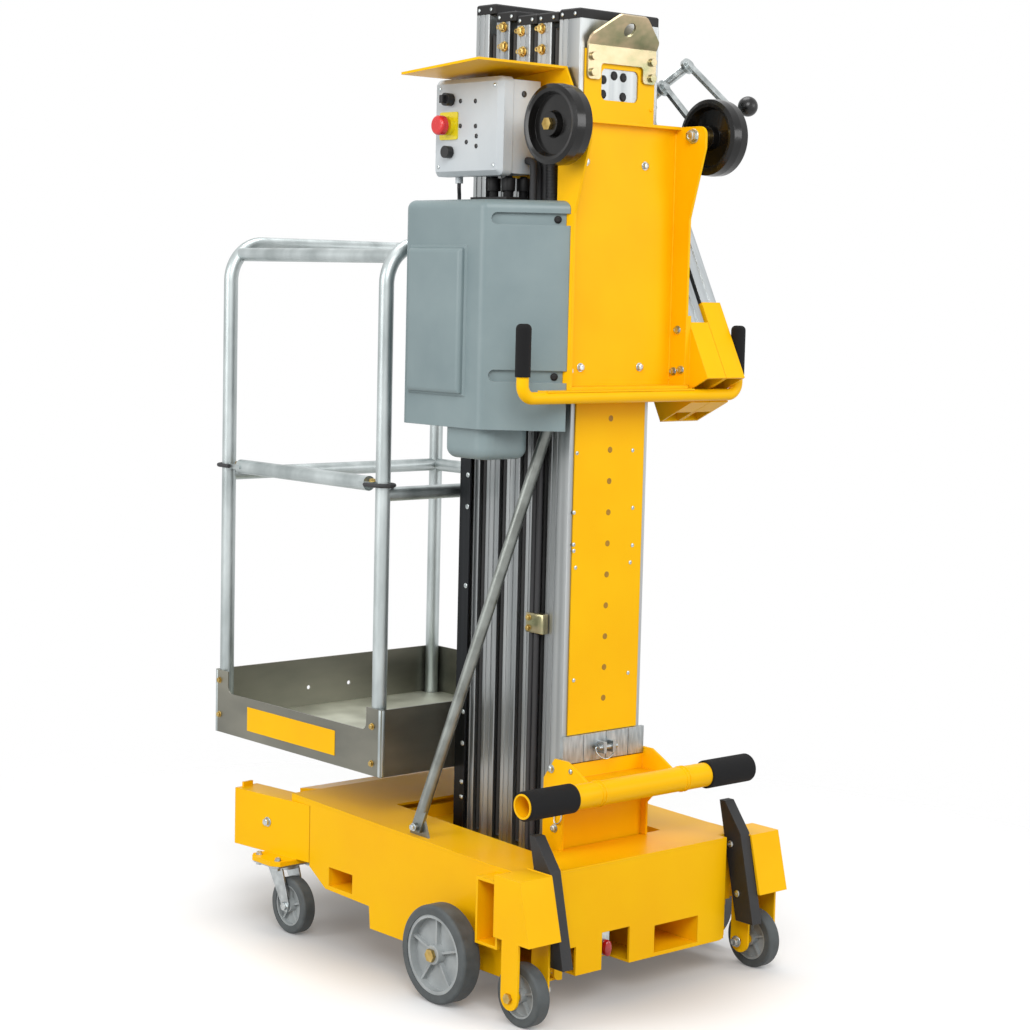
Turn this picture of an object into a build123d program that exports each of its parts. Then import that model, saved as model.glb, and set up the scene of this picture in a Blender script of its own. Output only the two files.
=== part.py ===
from build123d import *
import os
from math import cos, pi, radians, sin

# Push-around vertical mast lift, stowed. Millimetres, +Z up, +X to the machine's left,
# -Y to the front where the platform is, +Y to the handles at the rear.
# The finished pieces are moved along Y so that the origin is on the ground under the
# middle of the machine's length and width.

os.makedirs("parts", exist_ok=True)

# Gaps used throughout
RUNNING = 0.05           # radial gap of a wheel on its axle
SLIDING = 0.6            # gap on each side of a mast slide
SEAT = 0.2               # gap of a tyre on its rim

# Sheet thicknesses
SHEET = 5.0
PLATE = 6.0

# Half width of the base between the outer faces of its side plates
BASE_HALF = 313.0

# Big rear wheels
REAR_R = 101.5
REAR_RIM_R = 82.0
REAR_W = 45.0
REAR_X = BASE_HALF + 54.0
REAR_Y = 271.0
REAR_AXLE_R = 9.0

# Small wheels at the rear corners and on the front casters
SMALL_R = 63.5
SMALL_RIM_R = 46.0
SMALL_W = 32.0
SMALL_AXLE_R = 6.0
CORNER_X = BASE_HALF + 19.0
CORNER_Y = 487.0
CASTER_X = BASE_HALF + 3.0
CASTER_Y = -350.0        # kingpin
CASTER_TRAIL = 39.0
CASTER_TOP = 158.0       # underside of the plate that the caster is bolted to

# Base frame
BASE_REAR_Y = 480.0
FLANGE_Y = BASE_REAR_Y - PLATE
DECK_REAR_Z = 295.0
DECK_FRONT_Z = 314.0
DECK_FRONT_Y = -327.0
PAN_Z = 72.0
PANEL_HALF = BASE_HALF - 68.0   # rear panel between the caster brackets
PAN_FRONT_Y = -35.0
KEEL_Z = 120.0
KNEE_Y = -197.0
NOSE_Y = -274.0
NOSE_HALF = BASE_HALF - 77.0    # front beam between the sockets
NOSE_Z = 172.0
WELL_FLOOR_Z = 265.0     # the mast stands on it
WELL_HALF = 175.0
WELL_FRONT_Y = -125.0

# Fork pockets: one through both sides, one in the rear panel
SIDE_POCKET = (-185.0, -100.0, 133.0, 175.0)
REAR_POCKET = (-164.0, -35.0, 80.0, 138.0)
REAR_POCKET_DEPTH = 420.0

# Outrigger sockets in the base
SOCKET_W = 56.0
SOCKET_H = 124.0
FRONT_SOCKET_TOP = 298.0
FRONT_SOCKET_FLARE = 7.0
FRONT_SOCKET_FRONT_Y = -506.0
FRONT_SOCKET_REAR_Y = -258.0
REAR_SOCKET_Y = 402.0
REAR_SOCKET_Z = 214.0
REAR_SOCKET_END = BASE_HALF + 47.0

# Corner caster brackets and skid bars
BRACKET_IN = BASE_HALF - 27.0
BRACKET_OUT = BASE_HALF + 58.0
BRACKET_TOP = 300.0
BRACKET_SKIRT_Z = 175.0
LEG_HALF = 25.0
BRACKET_FRONT_Y = 436.0
BRACKET_FLANGE_Y = 450.0
SKID_W = 27.0
SKID_D = 50.0
SKID_Y = 496.0
SKID_Z0 = 116.0
SKID_Z1 = 368.0
LEAN_SKID = 13.0

# Mast: five columns, the rearmost fixed. Front face of column k is MAST_REAR - k * PITCH
MAST_REAR = 340.0
WELL_REAR = MAST_REAR + 10
DECK_LEVEL_Y = WELL_REAR # behind this the deck is level
PITCH = 65.0
MAST_HALF = 110.0
BOX_DEPTH = 42.0
LIP = 6.0                # lip of the front groove
GROOVE_DEPTH = 15.0
GROOVE_MOUTH = 86.0
GROOVE_HALF = 98.0
NECK_WEB = 8.0
COLUMN_WALL = 4.0
COLUMN_CORNER = 2.5
COLUMN_TOPS = (1991.0, 1988.0, 1988.0, 1999.0, 2018.0)   # from the fixed column forward
CAP_HALF = 112.0
CAP_H = 20.0

# Plates on the fixed column
COVER_HALF = 98.0
COVER_Z0 = 531.0
COVER_Z1 = 1932.0
COVER_T = 3.0
COVER_HOLE_STEP = 65.0
WINDOW_Z = 1864.0
WINDOW_W = 104.0
WINDOW_H = 63.0
FRAME_HALF = 165.0
FRAME_Z0 = 1255.0
FRAME_Z1 = 1790.0
FRAME_Y = MAST_REAR + COVER_T
FLANGE_REAR_Y = 395.0
EAR_REAR_Y = 435.0
EAR_CORNER = 18.0

# Lifting eye: its legs stand on the cover, and above the bend it leans to the rear
EYE_FOOT_Z = 1872.0
EYE_ARCH_Z = 1905.0
EYE_BEND_Z = 1942.0
EYE_HALF = 95.0
EYE_LEG = 36.0
EYE_LEAN = 29.0
EYE_SHOULDER = 20.0      # heights above the bend, along the leaning part
EYE_HOLE = 39.5
EYE_TIP = 70.0
EYE_HOLE_R = 15.0
EYE_BOLTS = ((83.0, 1885.0), (83.0, 1917.0))

# Loading wheels at the top
LOAD_R = 80.0
LOAD_W = 48.0
LOAD_X = 219.5
LOAD_Y = 400.0
LOAD_Z = 1770.0
LOAD_AXLE_R = 8.0

# Cradle, clamp band and locking pin at the mast foot
CRADLE_TOP = 475.0
BAND_Z0 = 473.0
BAND_Z1 = 530.0
PIN_Z = 500.0

# Handles
HANDLE_Y = 459.0
HANDLE_Z = 434.0
HANDLE_R = 25.5
HANDLE_HALF = 321.0
GRIP_R = 30.0
GRIP_LEN = 130.0
PUSH_Y = 409.0
PUSH_Z = 1243.0
PUSH_R = 12.5
PUSH_HALF = HANDLE_HALF - 17.0   # both handles are about as wide
PUSH_GRIP_R = 15.5
PUSH_GRIP_Z0 = 1277.0
PUSH_GRIP_Z1 = 1381.0

# Platform slide: a plate before the front column with a cheek along each side of it
SLIDE_HALF = MAST_HALF + 11.0
SLIDE_TOP = 1140.0
CHEEK_DEPTH = 25.0

# Power unit cover
POWER_IN = MAST_HALF + 17.0
POWER_OUT = 295.0
POWER_FRONT_Y = 14.0
POWER_SIDE_Y = 268.0
POWER_REAR_Y = 385.0
POWER_Z0 = 1165.0
POWER_Z1 = 1625.0
POWER_PANEL = (42.0, 223.0, 1228.0, 1533.0)   # raised panel on the outer face
POWER_PANEL_T = 4.0
CHANNELS = (1274.0, 1587.0)
CHANNEL_H = 24.0
CHANNEL_DEPTH = 9.0
CHANNEL_END = 58.0       # rounded end, from the middle of the slanting face
TANK_DROP = 64.0

# Control box under its hood
BOX_IN = 140.0
BOX_OUT = 250.0
BOX_Y0 = 50.0
BOX_Y1 = 262.0
BOX_Z0 = 1674.0
BOX_Z1 = 1871.0
LID_DEPTH = 34.0
LID_BEVEL = 10.0
GLAND_X = 222.0
GLAND_Y = 104.0
GLAND_H = 13.0
SELECTOR = (106.0, 1829.0)   # centres (y, z) of the controls on the lid
KNOB = (106.0, 1723.0)
STOP = (104.0, 1776.0)
HOOD_IN = MAST_HALF + 6.0
HOOD_OUT = 350.0
HOOD_Y0 = 68.0
HOOD_Y1 = 310.0
HOOD_Z = 1879.0
HOOD_RISE = 17.0

# Stowed outriggers on the right side: sockets, beams and jacks lean forward together
LEAN = 27.0
SOCKET_FAR = 978.0       # distances across the lean, measured from the origin
SOCKET_DEPTH = 166.0
SOCKET_NEAR = SOCKET_FAR - SOCKET_DEPTH
STOW_WALL = 5.0
BEAM_W = 45.0
BEAM_D = SOCKET_DEPTH - 36.0
BEAM_T0 = 950.0          # distances along the lean
STOW_FIT = 0.3           # gap of a beam in its socket
SADDLE = 2.5             # gap over the push bar where the sockets are notched for it
STOW_BOTTOM_T = 903.0
STOWED = (
    # x centre, socket top, beam top, jack hub n, crank dx, crank dt, knob stem
    (-201.0, 1058.0, 1530.0, 1099.0, -79.0, -130.0, 18.0),
    (-258.0, 1105.0, 1568.0, 1134.0, -98.0, -112.0, 30.0),
)
CRANK_W = 16.0
KNOB_R = 21.5

# Platform
PLAT_HALF = 325.0
PLAT_FRONT_Y = -619.0
PLAT_REAR_Y = 7.0
FLOOR_TOP = 441.0
FLOOR_T = 4.0
TOE_Z0 = 410.0
TOE_Z1 = 555.0
TOE_LOW_Z = 505.0
TOE_T = 3.0
POST_X = 306.0
POST_FRONT_Y = -600.0
POST_REAR_Y = -25.0
POST_R = 16.0
POST_FOOT_Z = TOE_Z0 + 6 # the posts stand on shelves under the notched corners of the floor
RAIL_TOP = 1535.0
RAIL_MID = 1010.0
RAIL_BEND = 85.0
RING_R = 4.5
RING_INNER = POST_R + 3.0


def block(x0, x1, y0, y1, z0, z1):
    return Pos((x0 + x1) / 2, (y0 + y1) / 2, (z0 + z1) / 2) * Box(x1 - x0, y1 - y0, z1 - z0)


def side_prism(points, x0, x1):
    """A plate whose outline (y, z) is seen from the side."""
    face = Plane.YZ * Polygon(*points, align=None)
    return Pos(x0, 0, 0) * extrude(face, amount=x1 - x0, dir=(1, 0, 0))


def plan_prism(points, z0, z1):
    """A plate whose outline (x, y) is seen from above."""
    face = Polygon(*points, align=None)
    return Pos(0, 0, z0) * extrude(face, amount=z1 - z0, dir=(0, 0, 1))


def rod(start, end, radius):
    run = Vector(end) - Vector(start)
    base = Plane(origin=start, z_dir=run)
    return base * Cylinder(radius, run.length, align=(Align.CENTER, Align.CENTER, Align.MIN))


def bent_tube(points, bend, radius, wall=0):
    path = FilletPolyline(*points, radius=bend)
    start = Plane(origin=path @ 0, z_dir=path % 0)
    tube = sweep(start * Circle(radius), path=path)
    if wall:
        tube -= sweep(start * Circle(radius - wall), path=path)
    return tube


def pair(piece):
    return piece + mirror(piece, Plane.YZ)


def lean_point(n, t):
    """A point (y, z) at n across and t along the lean of the stowed outriggers."""
    a = radians(LEAN)
    return (n * cos(a) - t * sin(a), n * sin(a) + t * cos(a))


def lean_place(y, z):
    """The reverse of lean_point."""
    a = radians(LEAN)
    return (y * cos(a) + z * sin(a), z * cos(a) - y * sin(a))


def lean_prism(n0, n1, t0, t1, x0, x1):
    corners = [lean_point(n, t) for n, t in ((n0, t0), (n1, t0), (n1, t1), (n0, t1))]
    return side_prism(corners, x0, x1)


def column_front(k):
    """Front face of column k, counted from 0 at the fixed rear column."""
    return MAST_REAR - (k + 1) * PITCH


# Wheels

def spun(width, r_in, r_out, corner=0.0):
    """A ring about the X axis, its outer corners rounded."""
    face = Pos(0, (r_in + r_out) / 2) * Rectangle(width, r_out - r_in)
    if corner:
        outer = [v for v in face.vertices() if v.Y > (r_in + r_out) / 2]
        face = fillet(outer, corner)
    return revolve(face, Axis.X, 360)


def wheel_rim(radius, width, hub_r, hub_w, bore_r, ribs, rib_t):
    """Ribbed plastic wheel centre: barrel, web, hub and ribs on both faces."""
    barrel_wall = radius * 0.085
    rim = spun(width - 4, radius - barrel_wall, radius)
    rim += spun(width * 0.16, hub_r - 1, radius - barrel_wall + 1)
    rib_reach = radius - barrel_wall * 0.6 - hub_r * 0.6
    for i in range(ribs):
        arm = Pos(0, hub_r * 0.6 + rib_reach / 2, 0) * Box(width * 0.6, rib_reach, rib_t)
        rim += Rot(i * 360 / ribs + 18, 0, 0) * arm
    rim += spun(hub_w, bore_r, hub_r, 1.5)
    return rim - Rot(0, 90, 0) * Cylinder(bore_r, hub_w + 2)


def rear_rim():
    rim = wheel_rim(REAR_RIM_R - SEAT, REAR_W, 20, REAR_W + 2, REAR_AXLE_R + RUNNING, 5, 5)
    return Pos(REAR_X, REAR_Y, REAR_R) * rim


def rear_tyre():
    return Pos(REAR_X, REAR_Y, REAR_R) * spun(REAR_W, REAR_RIM_R, REAR_R, 7)


def small_rim():
    return wheel_rim(SMALL_RIM_R - SEAT, SMALL_W, 15, SMALL_W + 4, SMALL_AXLE_R + RUNNING, 5, 4)


def small_tyre():
    return spun(SMALL_W, SMALL_RIM_R, SMALL_R, 6)


def loading_wheel():
    """Moulded one-piece wheel: crowned tread, dished web on both sides, hub."""
    half = LOAD_W / 2
    outline = [(-half, LOAD_AXLE_R + RUNNING), (half, LOAD_AXLE_R + RUNNING), (half, 23),
               (half - 14, 27), (half - 16, 58), (half - 2, 63), (half, 70), (half - 4, LOAD_R - 1.5),
               (0, LOAD_R), (4 - half, LOAD_R - 1.5), (-half, 70), (2 - half, 63),
               (16 - half, 58), (14 - half, 27), (-half, 23)]
    wheel = revolve(Polygon(*outline, align=None), Axis.X, 360)
    return Pos(LOAD_X, LOAD_Y, LOAD_Z) * wheel


def wheel_axles():
    """Fixed bolts of the rear, corner and loading wheels, each with its head outside."""
    bolts = None
    rows = (
        # radius, inner end, head x, y, z, head radius
        (REAR_AXLE_R, BASE_HALF, REAR_X + REAR_W / 2 + 2, REAR_Y, REAR_R, 14),
        (SMALL_AXLE_R, BRACKET_IN - 8, BRACKET_OUT, CORNER_Y, SMALL_R, 10.5),
        (LOAD_AXLE_R, FRAME_HALF, LOAD_X + LOAD_W / 2 + 0.5, LOAD_Y, LOAD_Z, 13),
    )
    for radius, inner, head, y, z, head_r in rows:
        bolt = rod((inner, y, z), (head, y, z), radius)
        hexagon = Plane.YZ * RegularPolygon(head_r, 6)
        bolt += Pos(head, y, z) * extrude(hexagon, amount=7, dir=(1, 0, 0))
        bolts = bolt if bolts is None else bolts + bolt
    rear_spacer = rod((BASE_HALF, REAR_Y, REAR_R), (REAR_X - REAR_W / 2 - 1.5, REAR_Y, REAR_R), 15)
    load_spacer = rod((FRAME_HALF, LOAD_Y, LOAD_Z), (LOAD_X - LOAD_W / 2 - 0.5, LOAD_Y, LOAD_Z), 14)
    return pair(bolts + rear_spacer + load_spacer)


# Front swivel casters

def caster_fork():
    """Pressed fork: round head under the race, two legs trailing down to the axle."""
    head_z = 143.0
    head = Pos(0, 0, head_z) * Cylinder(34, 7, align=(Align.CENTER, Align.CENTER, Align.MIN))
    leg_x = SMALL_W / 2 + 4
    leg = side_prism([(-30, head_z + 3), (26, head_z + 3), (CASTER_TRAIL + 14, SMALL_R + 8),
                      (CASTER_TRAIL + 8, SMALL_R - 12), (CASTER_TRAIL - 8, SMALL_R - 12),
                      (CASTER_TRAIL - 16, SMALL_R + 4)], leg_x, leg_x + 4)
    fork = head + pair(leg)
    axle = rod((-leg_x - 9, CASTER_TRAIL, SMALL_R), (leg_x + 9, CASTER_TRAIL, SMALL_R), SMALL_AXLE_R)
    fork += axle
    for s in (-1, 1):
        spacer_out = s * (leg_x + 1)
        spacer_in = s * (SMALL_W / 2 + 2.4)
        fork += rod((spacer_in, CASTER_TRAIL, SMALL_R), (spacer_out, CASTER_TRAIL, SMALL_R), 9)
        nut = Plane.YZ * RegularPolygon(9.5, 6)
        at = leg_x + 4 if s > 0 else -leg_x - 10
        fork += Pos(at, CASTER_TRAIL, SMALL_R) * extrude(nut, amount=6, dir=(1, 0, 0))
    fork -= Pos(0, 0, head_z - 1) * Cylinder(SMALL_AXLE_R + RUNNING, 10,
                                             align=(Align.CENTER, Align.CENTER, Align.MIN))
    return Pos(CASTER_X, CASTER_Y, 0) * fork


def caster_plates():
    """Fixed top plates of the casters with the ball race and kingpin."""
    low = Align.CENTER, Align.CENTER, Align.MIN
    plate = Pos(0, 0, 154) * Box(112, 96, 4, align=low)
    plate = fillet(plate.edges().filter_by(Axis.Z), 12)
    plate += Pos(0, 0, 150.4) * Cylinder(31, 4, align=low)
    plate += Pos(0, 0, 138) * Cylinder(SMALL_AXLE_R, 18, align=low)
    plate += Pos(0, 0, 137) * extrude(RegularPolygon(11, 6), amount=5.5)
    for dx in (-43, 43):
        for dy in (-35, 35):
            plate += Pos(dx, dy, 147) * extrude(RegularPolygon(8, 6), amount=7.2)
    return pair(Pos(CASTER_X, CASTER_Y, 0) * plate)


# Base frame

def deck_z(y):
    """Top of the sloping deck."""
    return DECK_REAR_Z + (DECK_FRONT_Z - DECK_REAR_Z) * max(0.0, DECK_LEVEL_Y - y) / (DECK_LEVEL_Y - DECK_FRONT_Y)


def base_sides():
    y0, y1, z0, z1 = SIDE_POCKET
    joint_y = FRONT_SOCKET_REAR_Y + 0.5
    slope_z = NOSE_Z - (joint_y - NOSE_Y) * (NOSE_Z - KEEL_Z - 4) / (KNEE_Y - NOSE_Y)
    tube_low = REAR_SOCKET_Z - SOCKET_H / 2 - PLATE
    plate = side_prism([(DECK_FRONT_Y, FRONT_SOCKET_TOP), (joint_y, FRONT_SOCKET_TOP), (joint_y, slope_z),
                        (KNEE_Y, KEEL_Z + 4), (PAN_FRONT_Y - 5, KEEL_Z), (PAN_FRONT_Y, PAN_Z), (405, PAN_Z),
                        (418, tube_low - 20), (418, tube_low), (BRACKET_FRONT_Y, tube_low),
                        (BRACKET_FRONT_Y, DECK_REAR_Z - SHEET), (DECK_LEVEL_Y, DECK_REAR_Z - SHEET),
                        (DECK_FRONT_Y, DECK_FRONT_Z - SHEET)], BASE_HALF - PLATE, BASE_HALF)
    plate -= block(0, BASE_HALF + 1, y0, y1, z0, z1)
    plate -= block(0, BASE_HALF + 1, REAR_SOCKET_Y - SOCKET_W / 2 - PLATE, REAR_SOCKET_Y + SOCKET_W / 2 + PLATE,
                   tube_low, REAR_SOCKET_Z + SOCKET_H / 2 + PLATE)
    return pair(plate)


def base_deck():
    """Deck sheet with the well that the mast stands in, and the front beam under it."""
    top = [(DECK_FRONT_Y, DECK_FRONT_Z), (DECK_LEVEL_Y, DECK_REAR_Z), (BASE_REAR_Y, DECK_REAR_Z),
           (BASE_REAR_Y, DECK_REAR_Z - SHEET), (DECK_LEVEL_Y, DECK_REAR_Z - SHEET),
           (DECK_FRONT_Y, DECK_FRONT_Z - SHEET)]
    deck = side_prism(top, -BASE_HALF, BASE_HALF)
    for s in (-1, 1):
        edge = min(s * PANEL_HALF, s * (BASE_HALF + 1))
        deck -= block(edge, edge + BASE_HALF + 1 - PANEL_HALF, BRACKET_FLANGE_Y, BASE_REAR_Y + 1, 200, 400)
        edge = min(s * BRACKET_IN, s * (BASE_HALF + 1))
        deck -= block(edge, edge + BASE_HALF + 1 - BRACKET_IN, BRACKET_FRONT_Y, BASE_REAR_Y + 1, 200, 400)
    deck -= block(-WELL_HALF, WELL_HALF, WELL_FRONT_Y, WELL_REAR, WELL_FLOOR_Z, DECK_FRONT_Z + 5)
    tray = block(-WELL_HALF - SHEET, WELL_HALF + SHEET, WELL_FRONT_Y - SHEET, WELL_REAR + SHEET,
                 WELL_FLOOR_Z - SHEET, DECK_REAR_Z - 2)
    tray -= block(-WELL_HALF, WELL_HALF, WELL_FRONT_Y, WELL_REAR, WELL_FLOOR_Z, DECK_FRONT_Z + 5)
    nose = side_prism([(-402, NOSE_Z), (DECK_FRONT_Y, NOSE_Z), (DECK_FRONT_Y, DECK_FRONT_Z),
                       (-402, DECK_FRONT_Z - 12)], -NOSE_HALF, NOSE_HALF)
    nose -= side_prism([(-402 + SHEET, NOSE_Z - 1), (DECK_FRONT_Y + 1, NOSE_Z - 1),
                        (DECK_FRONT_Y + 1, DECK_FRONT_Z - SHEET), (-402 + SHEET, DECK_FRONT_Z - 12 - SHEET)],
                       -NOSE_HALF + SHEET, NOSE_HALF - SHEET)
    return deck + tray + nose


def base_pan():
    """Folded floor of the base with the rear panel and the two fork pockets."""
    under = [(NOSE_Y, NOSE_Z), (KNEE_Y, KEEL_Z + 4), (PAN_FRONT_Y - 5, KEEL_Z), (PAN_FRONT_Y, PAN_Z),
             (FLANGE_Y, PAN_Z), (FLANGE_Y, PAN_Z + SHEET), (PAN_FRONT_Y + SHEET, PAN_Z + SHEET),
             (PAN_FRONT_Y, KEEL_Z + SHEET), (KNEE_Y + 2, KEEL_Z + 4 + SHEET), (NOSE_Y + 4, NOSE_Z + SHEET),
             (DECK_FRONT_Y + 4, NOSE_Z + SHEET), (DECK_FRONT_Y + 4, NOSE_Z)]
    inside = BASE_HALF - PLATE
    pan = side_prism(under, -inside, inside)
    x0, x1, z0, z1 = REAR_POCKET
    for s in (-1, 1):
        edge = min(s * NOSE_HALF, s * (BASE_HALF + 1))
        pan -= block(edge, edge + BASE_HALF + 1 - NOSE_HALF, -400, FRONT_SOCKET_REAR_Y + 0.5, PAN_Z, 300)
        edge = min(s * (PANEL_HALF + 5), s * (BASE_HALF + 1))
        pan -= block(edge, edge + BASE_HALF - 4 - PANEL_HALF, 425, BASE_REAR_Y + 1, PAN_Z - 1, 300)
    panel = block(-PANEL_HALF, PANEL_HALF, FLANGE_Y, BASE_REAR_Y, PAN_Z, DECK_REAR_Z - SHEET)
    panel = fillet(panel.edges().filter_by(Axis.Y).filter_by(lambda e: e.center().Z < 100), 14)
    for s in (-1, 1):
        x = s * (PANEL_HALF - SHEET / 2)
        panel += block(x - SHEET / 2, x + SHEET / 2, BRACKET_FLANGE_Y, FLANGE_Y + 1, PAN_Z + 20, DECK_REAR_Z - SHEET)
    pan += panel
    pan -= block(37, 115, FLANGE_Y - 60, BASE_REAR_Y + 1, PAN_Z - 1, 149)
    pan -= block(PANEL_HALF - 58, PANEL_HALF - 22, FLANGE_Y - 40, BASE_REAR_Y + 1, PAN_Z - 1, 132)
    pan -= block(x0, x1, FLANGE_Y - 1, BASE_REAR_Y + 1, z0, z1)
    tunnel = block(x0 - SHEET, x1 + SHEET, FLANGE_Y - REAR_POCKET_DEPTH, FLANGE_Y + 1, PAN_Z, z1 + SHEET)
    tunnel -= block(x0, x1, FLANGE_Y - REAR_POCKET_DEPTH - 1, FLANGE_Y + 2, z0, z1)
    pan += tunnel
    y0, y1, p0, p1 = SIDE_POCKET
    cross = block(-inside, inside, y0 - SHEET, y1 + SHEET, KEEL_Z + 2, p1 + SHEET)
    cross -= block(-inside - 1, inside + 1, y0, y1, p0, p1)
    return pan + cross


def rear_socket():
    """Rectangular tube across the base; its open ends take the rear outriggers."""
    outer = block(-REAR_SOCKET_END, REAR_SOCKET_END, REAR_SOCKET_Y - SOCKET_W / 2 - PLATE,
                  REAR_SOCKET_Y + SOCKET_W / 2 + PLATE, REAR_SOCKET_Z - SOCKET_H / 2 - PLATE,
                  REAR_SOCKET_Z + SOCKET_H / 2 + PLATE)
    inner = block(-REAR_SOCKET_END - 1, REAR_SOCKET_END + 1, REAR_SOCKET_Y - SOCKET_W / 2,
                  REAR_SOCKET_Y + SOCKET_W / 2, REAR_SOCKET_Z - SOCKET_H / 2, REAR_SOCKET_Z + SOCKET_H / 2)
    return outer - inner


def front_sockets():
    """Flared sockets over the casters, open to the front, with a lip and the caster plate."""
    length = FRONT_SOCKET_REAR_Y - FRONT_SOCKET_FRONT_Y
    width = SOCKET_W + 2 * SHEET
    low = FRONT_SOCKET_TOP - SOCKET_H - 2 * SHEET + 5
    socket = block(-width, 0, 0, length, low, FRONT_SOCKET_TOP)
    socket -= block(SHEET - width, -SHEET, -1, length - SHEET, low + SHEET, FRONT_SOCKET_TOP - SHEET)
    socket += block(-width / 2 - 14, -width / 2 + 14, 2, 8, FRONT_SOCKET_TOP, FRONT_SOCKET_TOP + 11)
    spread = length * sin(radians(FRONT_SOCKET_FLARE))
    turned = Rot(0, 0, FRONT_SOCKET_FLARE) * socket
    socket = Pos(BASE_HALF + spread, FRONT_SOCKET_FRONT_Y, 0) * turned
    front, rear = CASTER_Y - 54, CASTER_Y + 50
    tip = BASE_HALF + 63
    plate = plan_prism([(BASE_HALF - 61, front), (tip - 14, front), (tip, front + 16), (tip, rear - 18),
                        (tip - 14, rear), (BASE_HALF - 61, rear)], CASTER_TOP, low)
    return pair(socket + plate)


def caster_brackets():
    """Folded corner brackets: a tapered box skirt with an inner and an outer wheel leg."""
    skirt = [(BRACKET_FRONT_Y, BRACKET_SKIRT_Z), (543, BRACKET_SKIRT_Z), (512, BRACKET_TOP), (BRACKET_FRONT_Y, BRACKET_TOP)]
    inner = [(BRACKET_FRONT_Y - 1, BRACKET_SKIRT_Z - 1), (543 - SHEET, BRACKET_SKIRT_Z - 1),
             (512 - SHEET, BRACKET_TOP - SHEET), (BRACKET_FRONT_Y - 1, BRACKET_TOP - SHEET)]
    bracket = side_prism(skirt, BRACKET_IN, BRACKET_OUT)
    bracket -= side_prism(inner, BRACKET_IN + SHEET, BRACKET_OUT - SHEET)
    bracket += block(PANEL_HALF, BRACKET_IN + 1, BRACKET_FLANGE_Y, BRACKET_FLANGE_Y + SHEET, 150, DECK_REAR_Z - 0.2)
    for x0 in (BRACKET_IN, BRACKET_OUT - SHEET):
        leg = block(x0, x0 + SHEET, CORNER_Y - LEG_HALF, CORNER_Y + LEG_HALF, SMALL_R, BRACKET_SKIRT_Z + 5)
        leg += rod((x0, CORNER_Y, SMALL_R), (x0 + SHEET, CORNER_Y, SMALL_R), LEG_HALF)
        bracket += leg
    gap_in = CORNER_X - SMALL_W / 2 - 2.4
    gap_out = CORNER_X + SMALL_W / 2 + 2.4
    for a, b in ((BRACKET_IN + SHEET - 1, gap_in), (gap_out, BRACKET_OUT - SHEET + 1)):
        bracket += rod((a, CORNER_Y, SMALL_R), (b, CORNER_Y, SMALL_R), 11)
    bracket -= rod((BRACKET_IN - 1, CORNER_Y, SMALL_R), (BRACKET_OUT + 1, CORNER_Y, SMALL_R), SMALL_AXLE_R + 0.02)
    return pair(bracket)


def skid_bars():
    """Rubber-faced bars that the machine slides on when it is laid back on a truck bed."""
    mid_z = (SKID_Z0 + SKID_Z1) / 2
    lean = radians(LEAN_SKID)
    shift = (SKID_Z1 - SKID_Z0) / 2 * sin(lean) / cos(lean)
    y_mid = SKID_Y
    half = SKID_D / 2
    outline = [(y_mid + shift - half, SKID_Z0), (y_mid + shift + half, SKID_Z0),
               (y_mid - shift * 0.5 + half, mid_z + (SKID_Z1 - mid_z) * 0.5),
               (y_mid - shift - half + 16, SKID_Z1), (y_mid - shift - half, SKID_Z1)]
    return pair(side_prism(outline, BRACKET_IN - SKID_W, BRACKET_IN))


# Mast

def column(k):
    """One mast column: hollow box, front groove, rear neck and tee that runs in the groove behind.
    The fixed column has a closed rear chamber in place of the neck and the tee."""
    y0 = column_front(k)
    depth = BOX_DEPTH if k else PITCH
    box = Pos(0, y0 + depth / 2) * Rectangle(2 * MAST_HALF, depth)
    box = fillet(box.vertices(), COLUMN_CORNER)
    box -= Pos(0, y0 + LIP / 2) * Rectangle(2 * GROOVE_MOUTH, LIP + 2)
    box -= Pos(0, y0 + (LIP + GROOVE_DEPTH) / 2) * Rectangle(2 * GROOVE_HALF, GROOVE_DEPTH - LIP)
    for s in (-1, 1):
        box -= Pos(s * MAST_HALF, y0 + 13) * Rectangle(3, 5)
        box -= Pos(s * MAST_HALF, y0 + 29) * Rectangle(3, 5)
    cell_y = (y0 + GROOVE_DEPTH + COLUMN_WALL, y0 + BOX_DEPTH - COLUMN_WALL)
    cell = (2 * MAST_HALF - 4 * COLUMN_WALL) / 3
    for i in (-1, 0, 1):
        box -= Pos(i * (cell + COLUMN_WALL), sum(cell_y) / 2) * Rectangle(cell - 4, cell_y[1] - cell_y[0])
    rear = y0 + BOX_DEPTH
    if k:
        neck_out = GROOVE_MOUTH - SLIDING - 1
        tee_y0 = y0 + PITCH + LIP + SLIDING
        tee_y1 = y0 + PITCH + GROOVE_DEPTH - SLIDING
        tee_half = GROOVE_HALF - SLIDING - 1
        for s in (-1, 1):
            web_x = s * (neck_out - NECK_WEB / 2)
            box += Pos(web_x, (rear + tee_y0) / 2) * Rectangle(NECK_WEB, tee_y0 - rear + 1)
        box += Pos(0, (tee_y0 + tee_y1) / 2) * Rectangle(2 * tee_half, tee_y1 - tee_y0)
    else:
        chamber_y1 = MAST_REAR - PLATE
        box -= Pos(0, (rear + chamber_y1) / 2) * Rectangle(2 * (MAST_HALF - COLUMN_WALL), chamber_y1 - rear)
    return Pos(0, 0, WELL_FLOOR_Z) * extrude(box, amount=COLUMN_TOPS[k] - WELL_FLOOR_Z, dir=(0, 0, 1))


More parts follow.
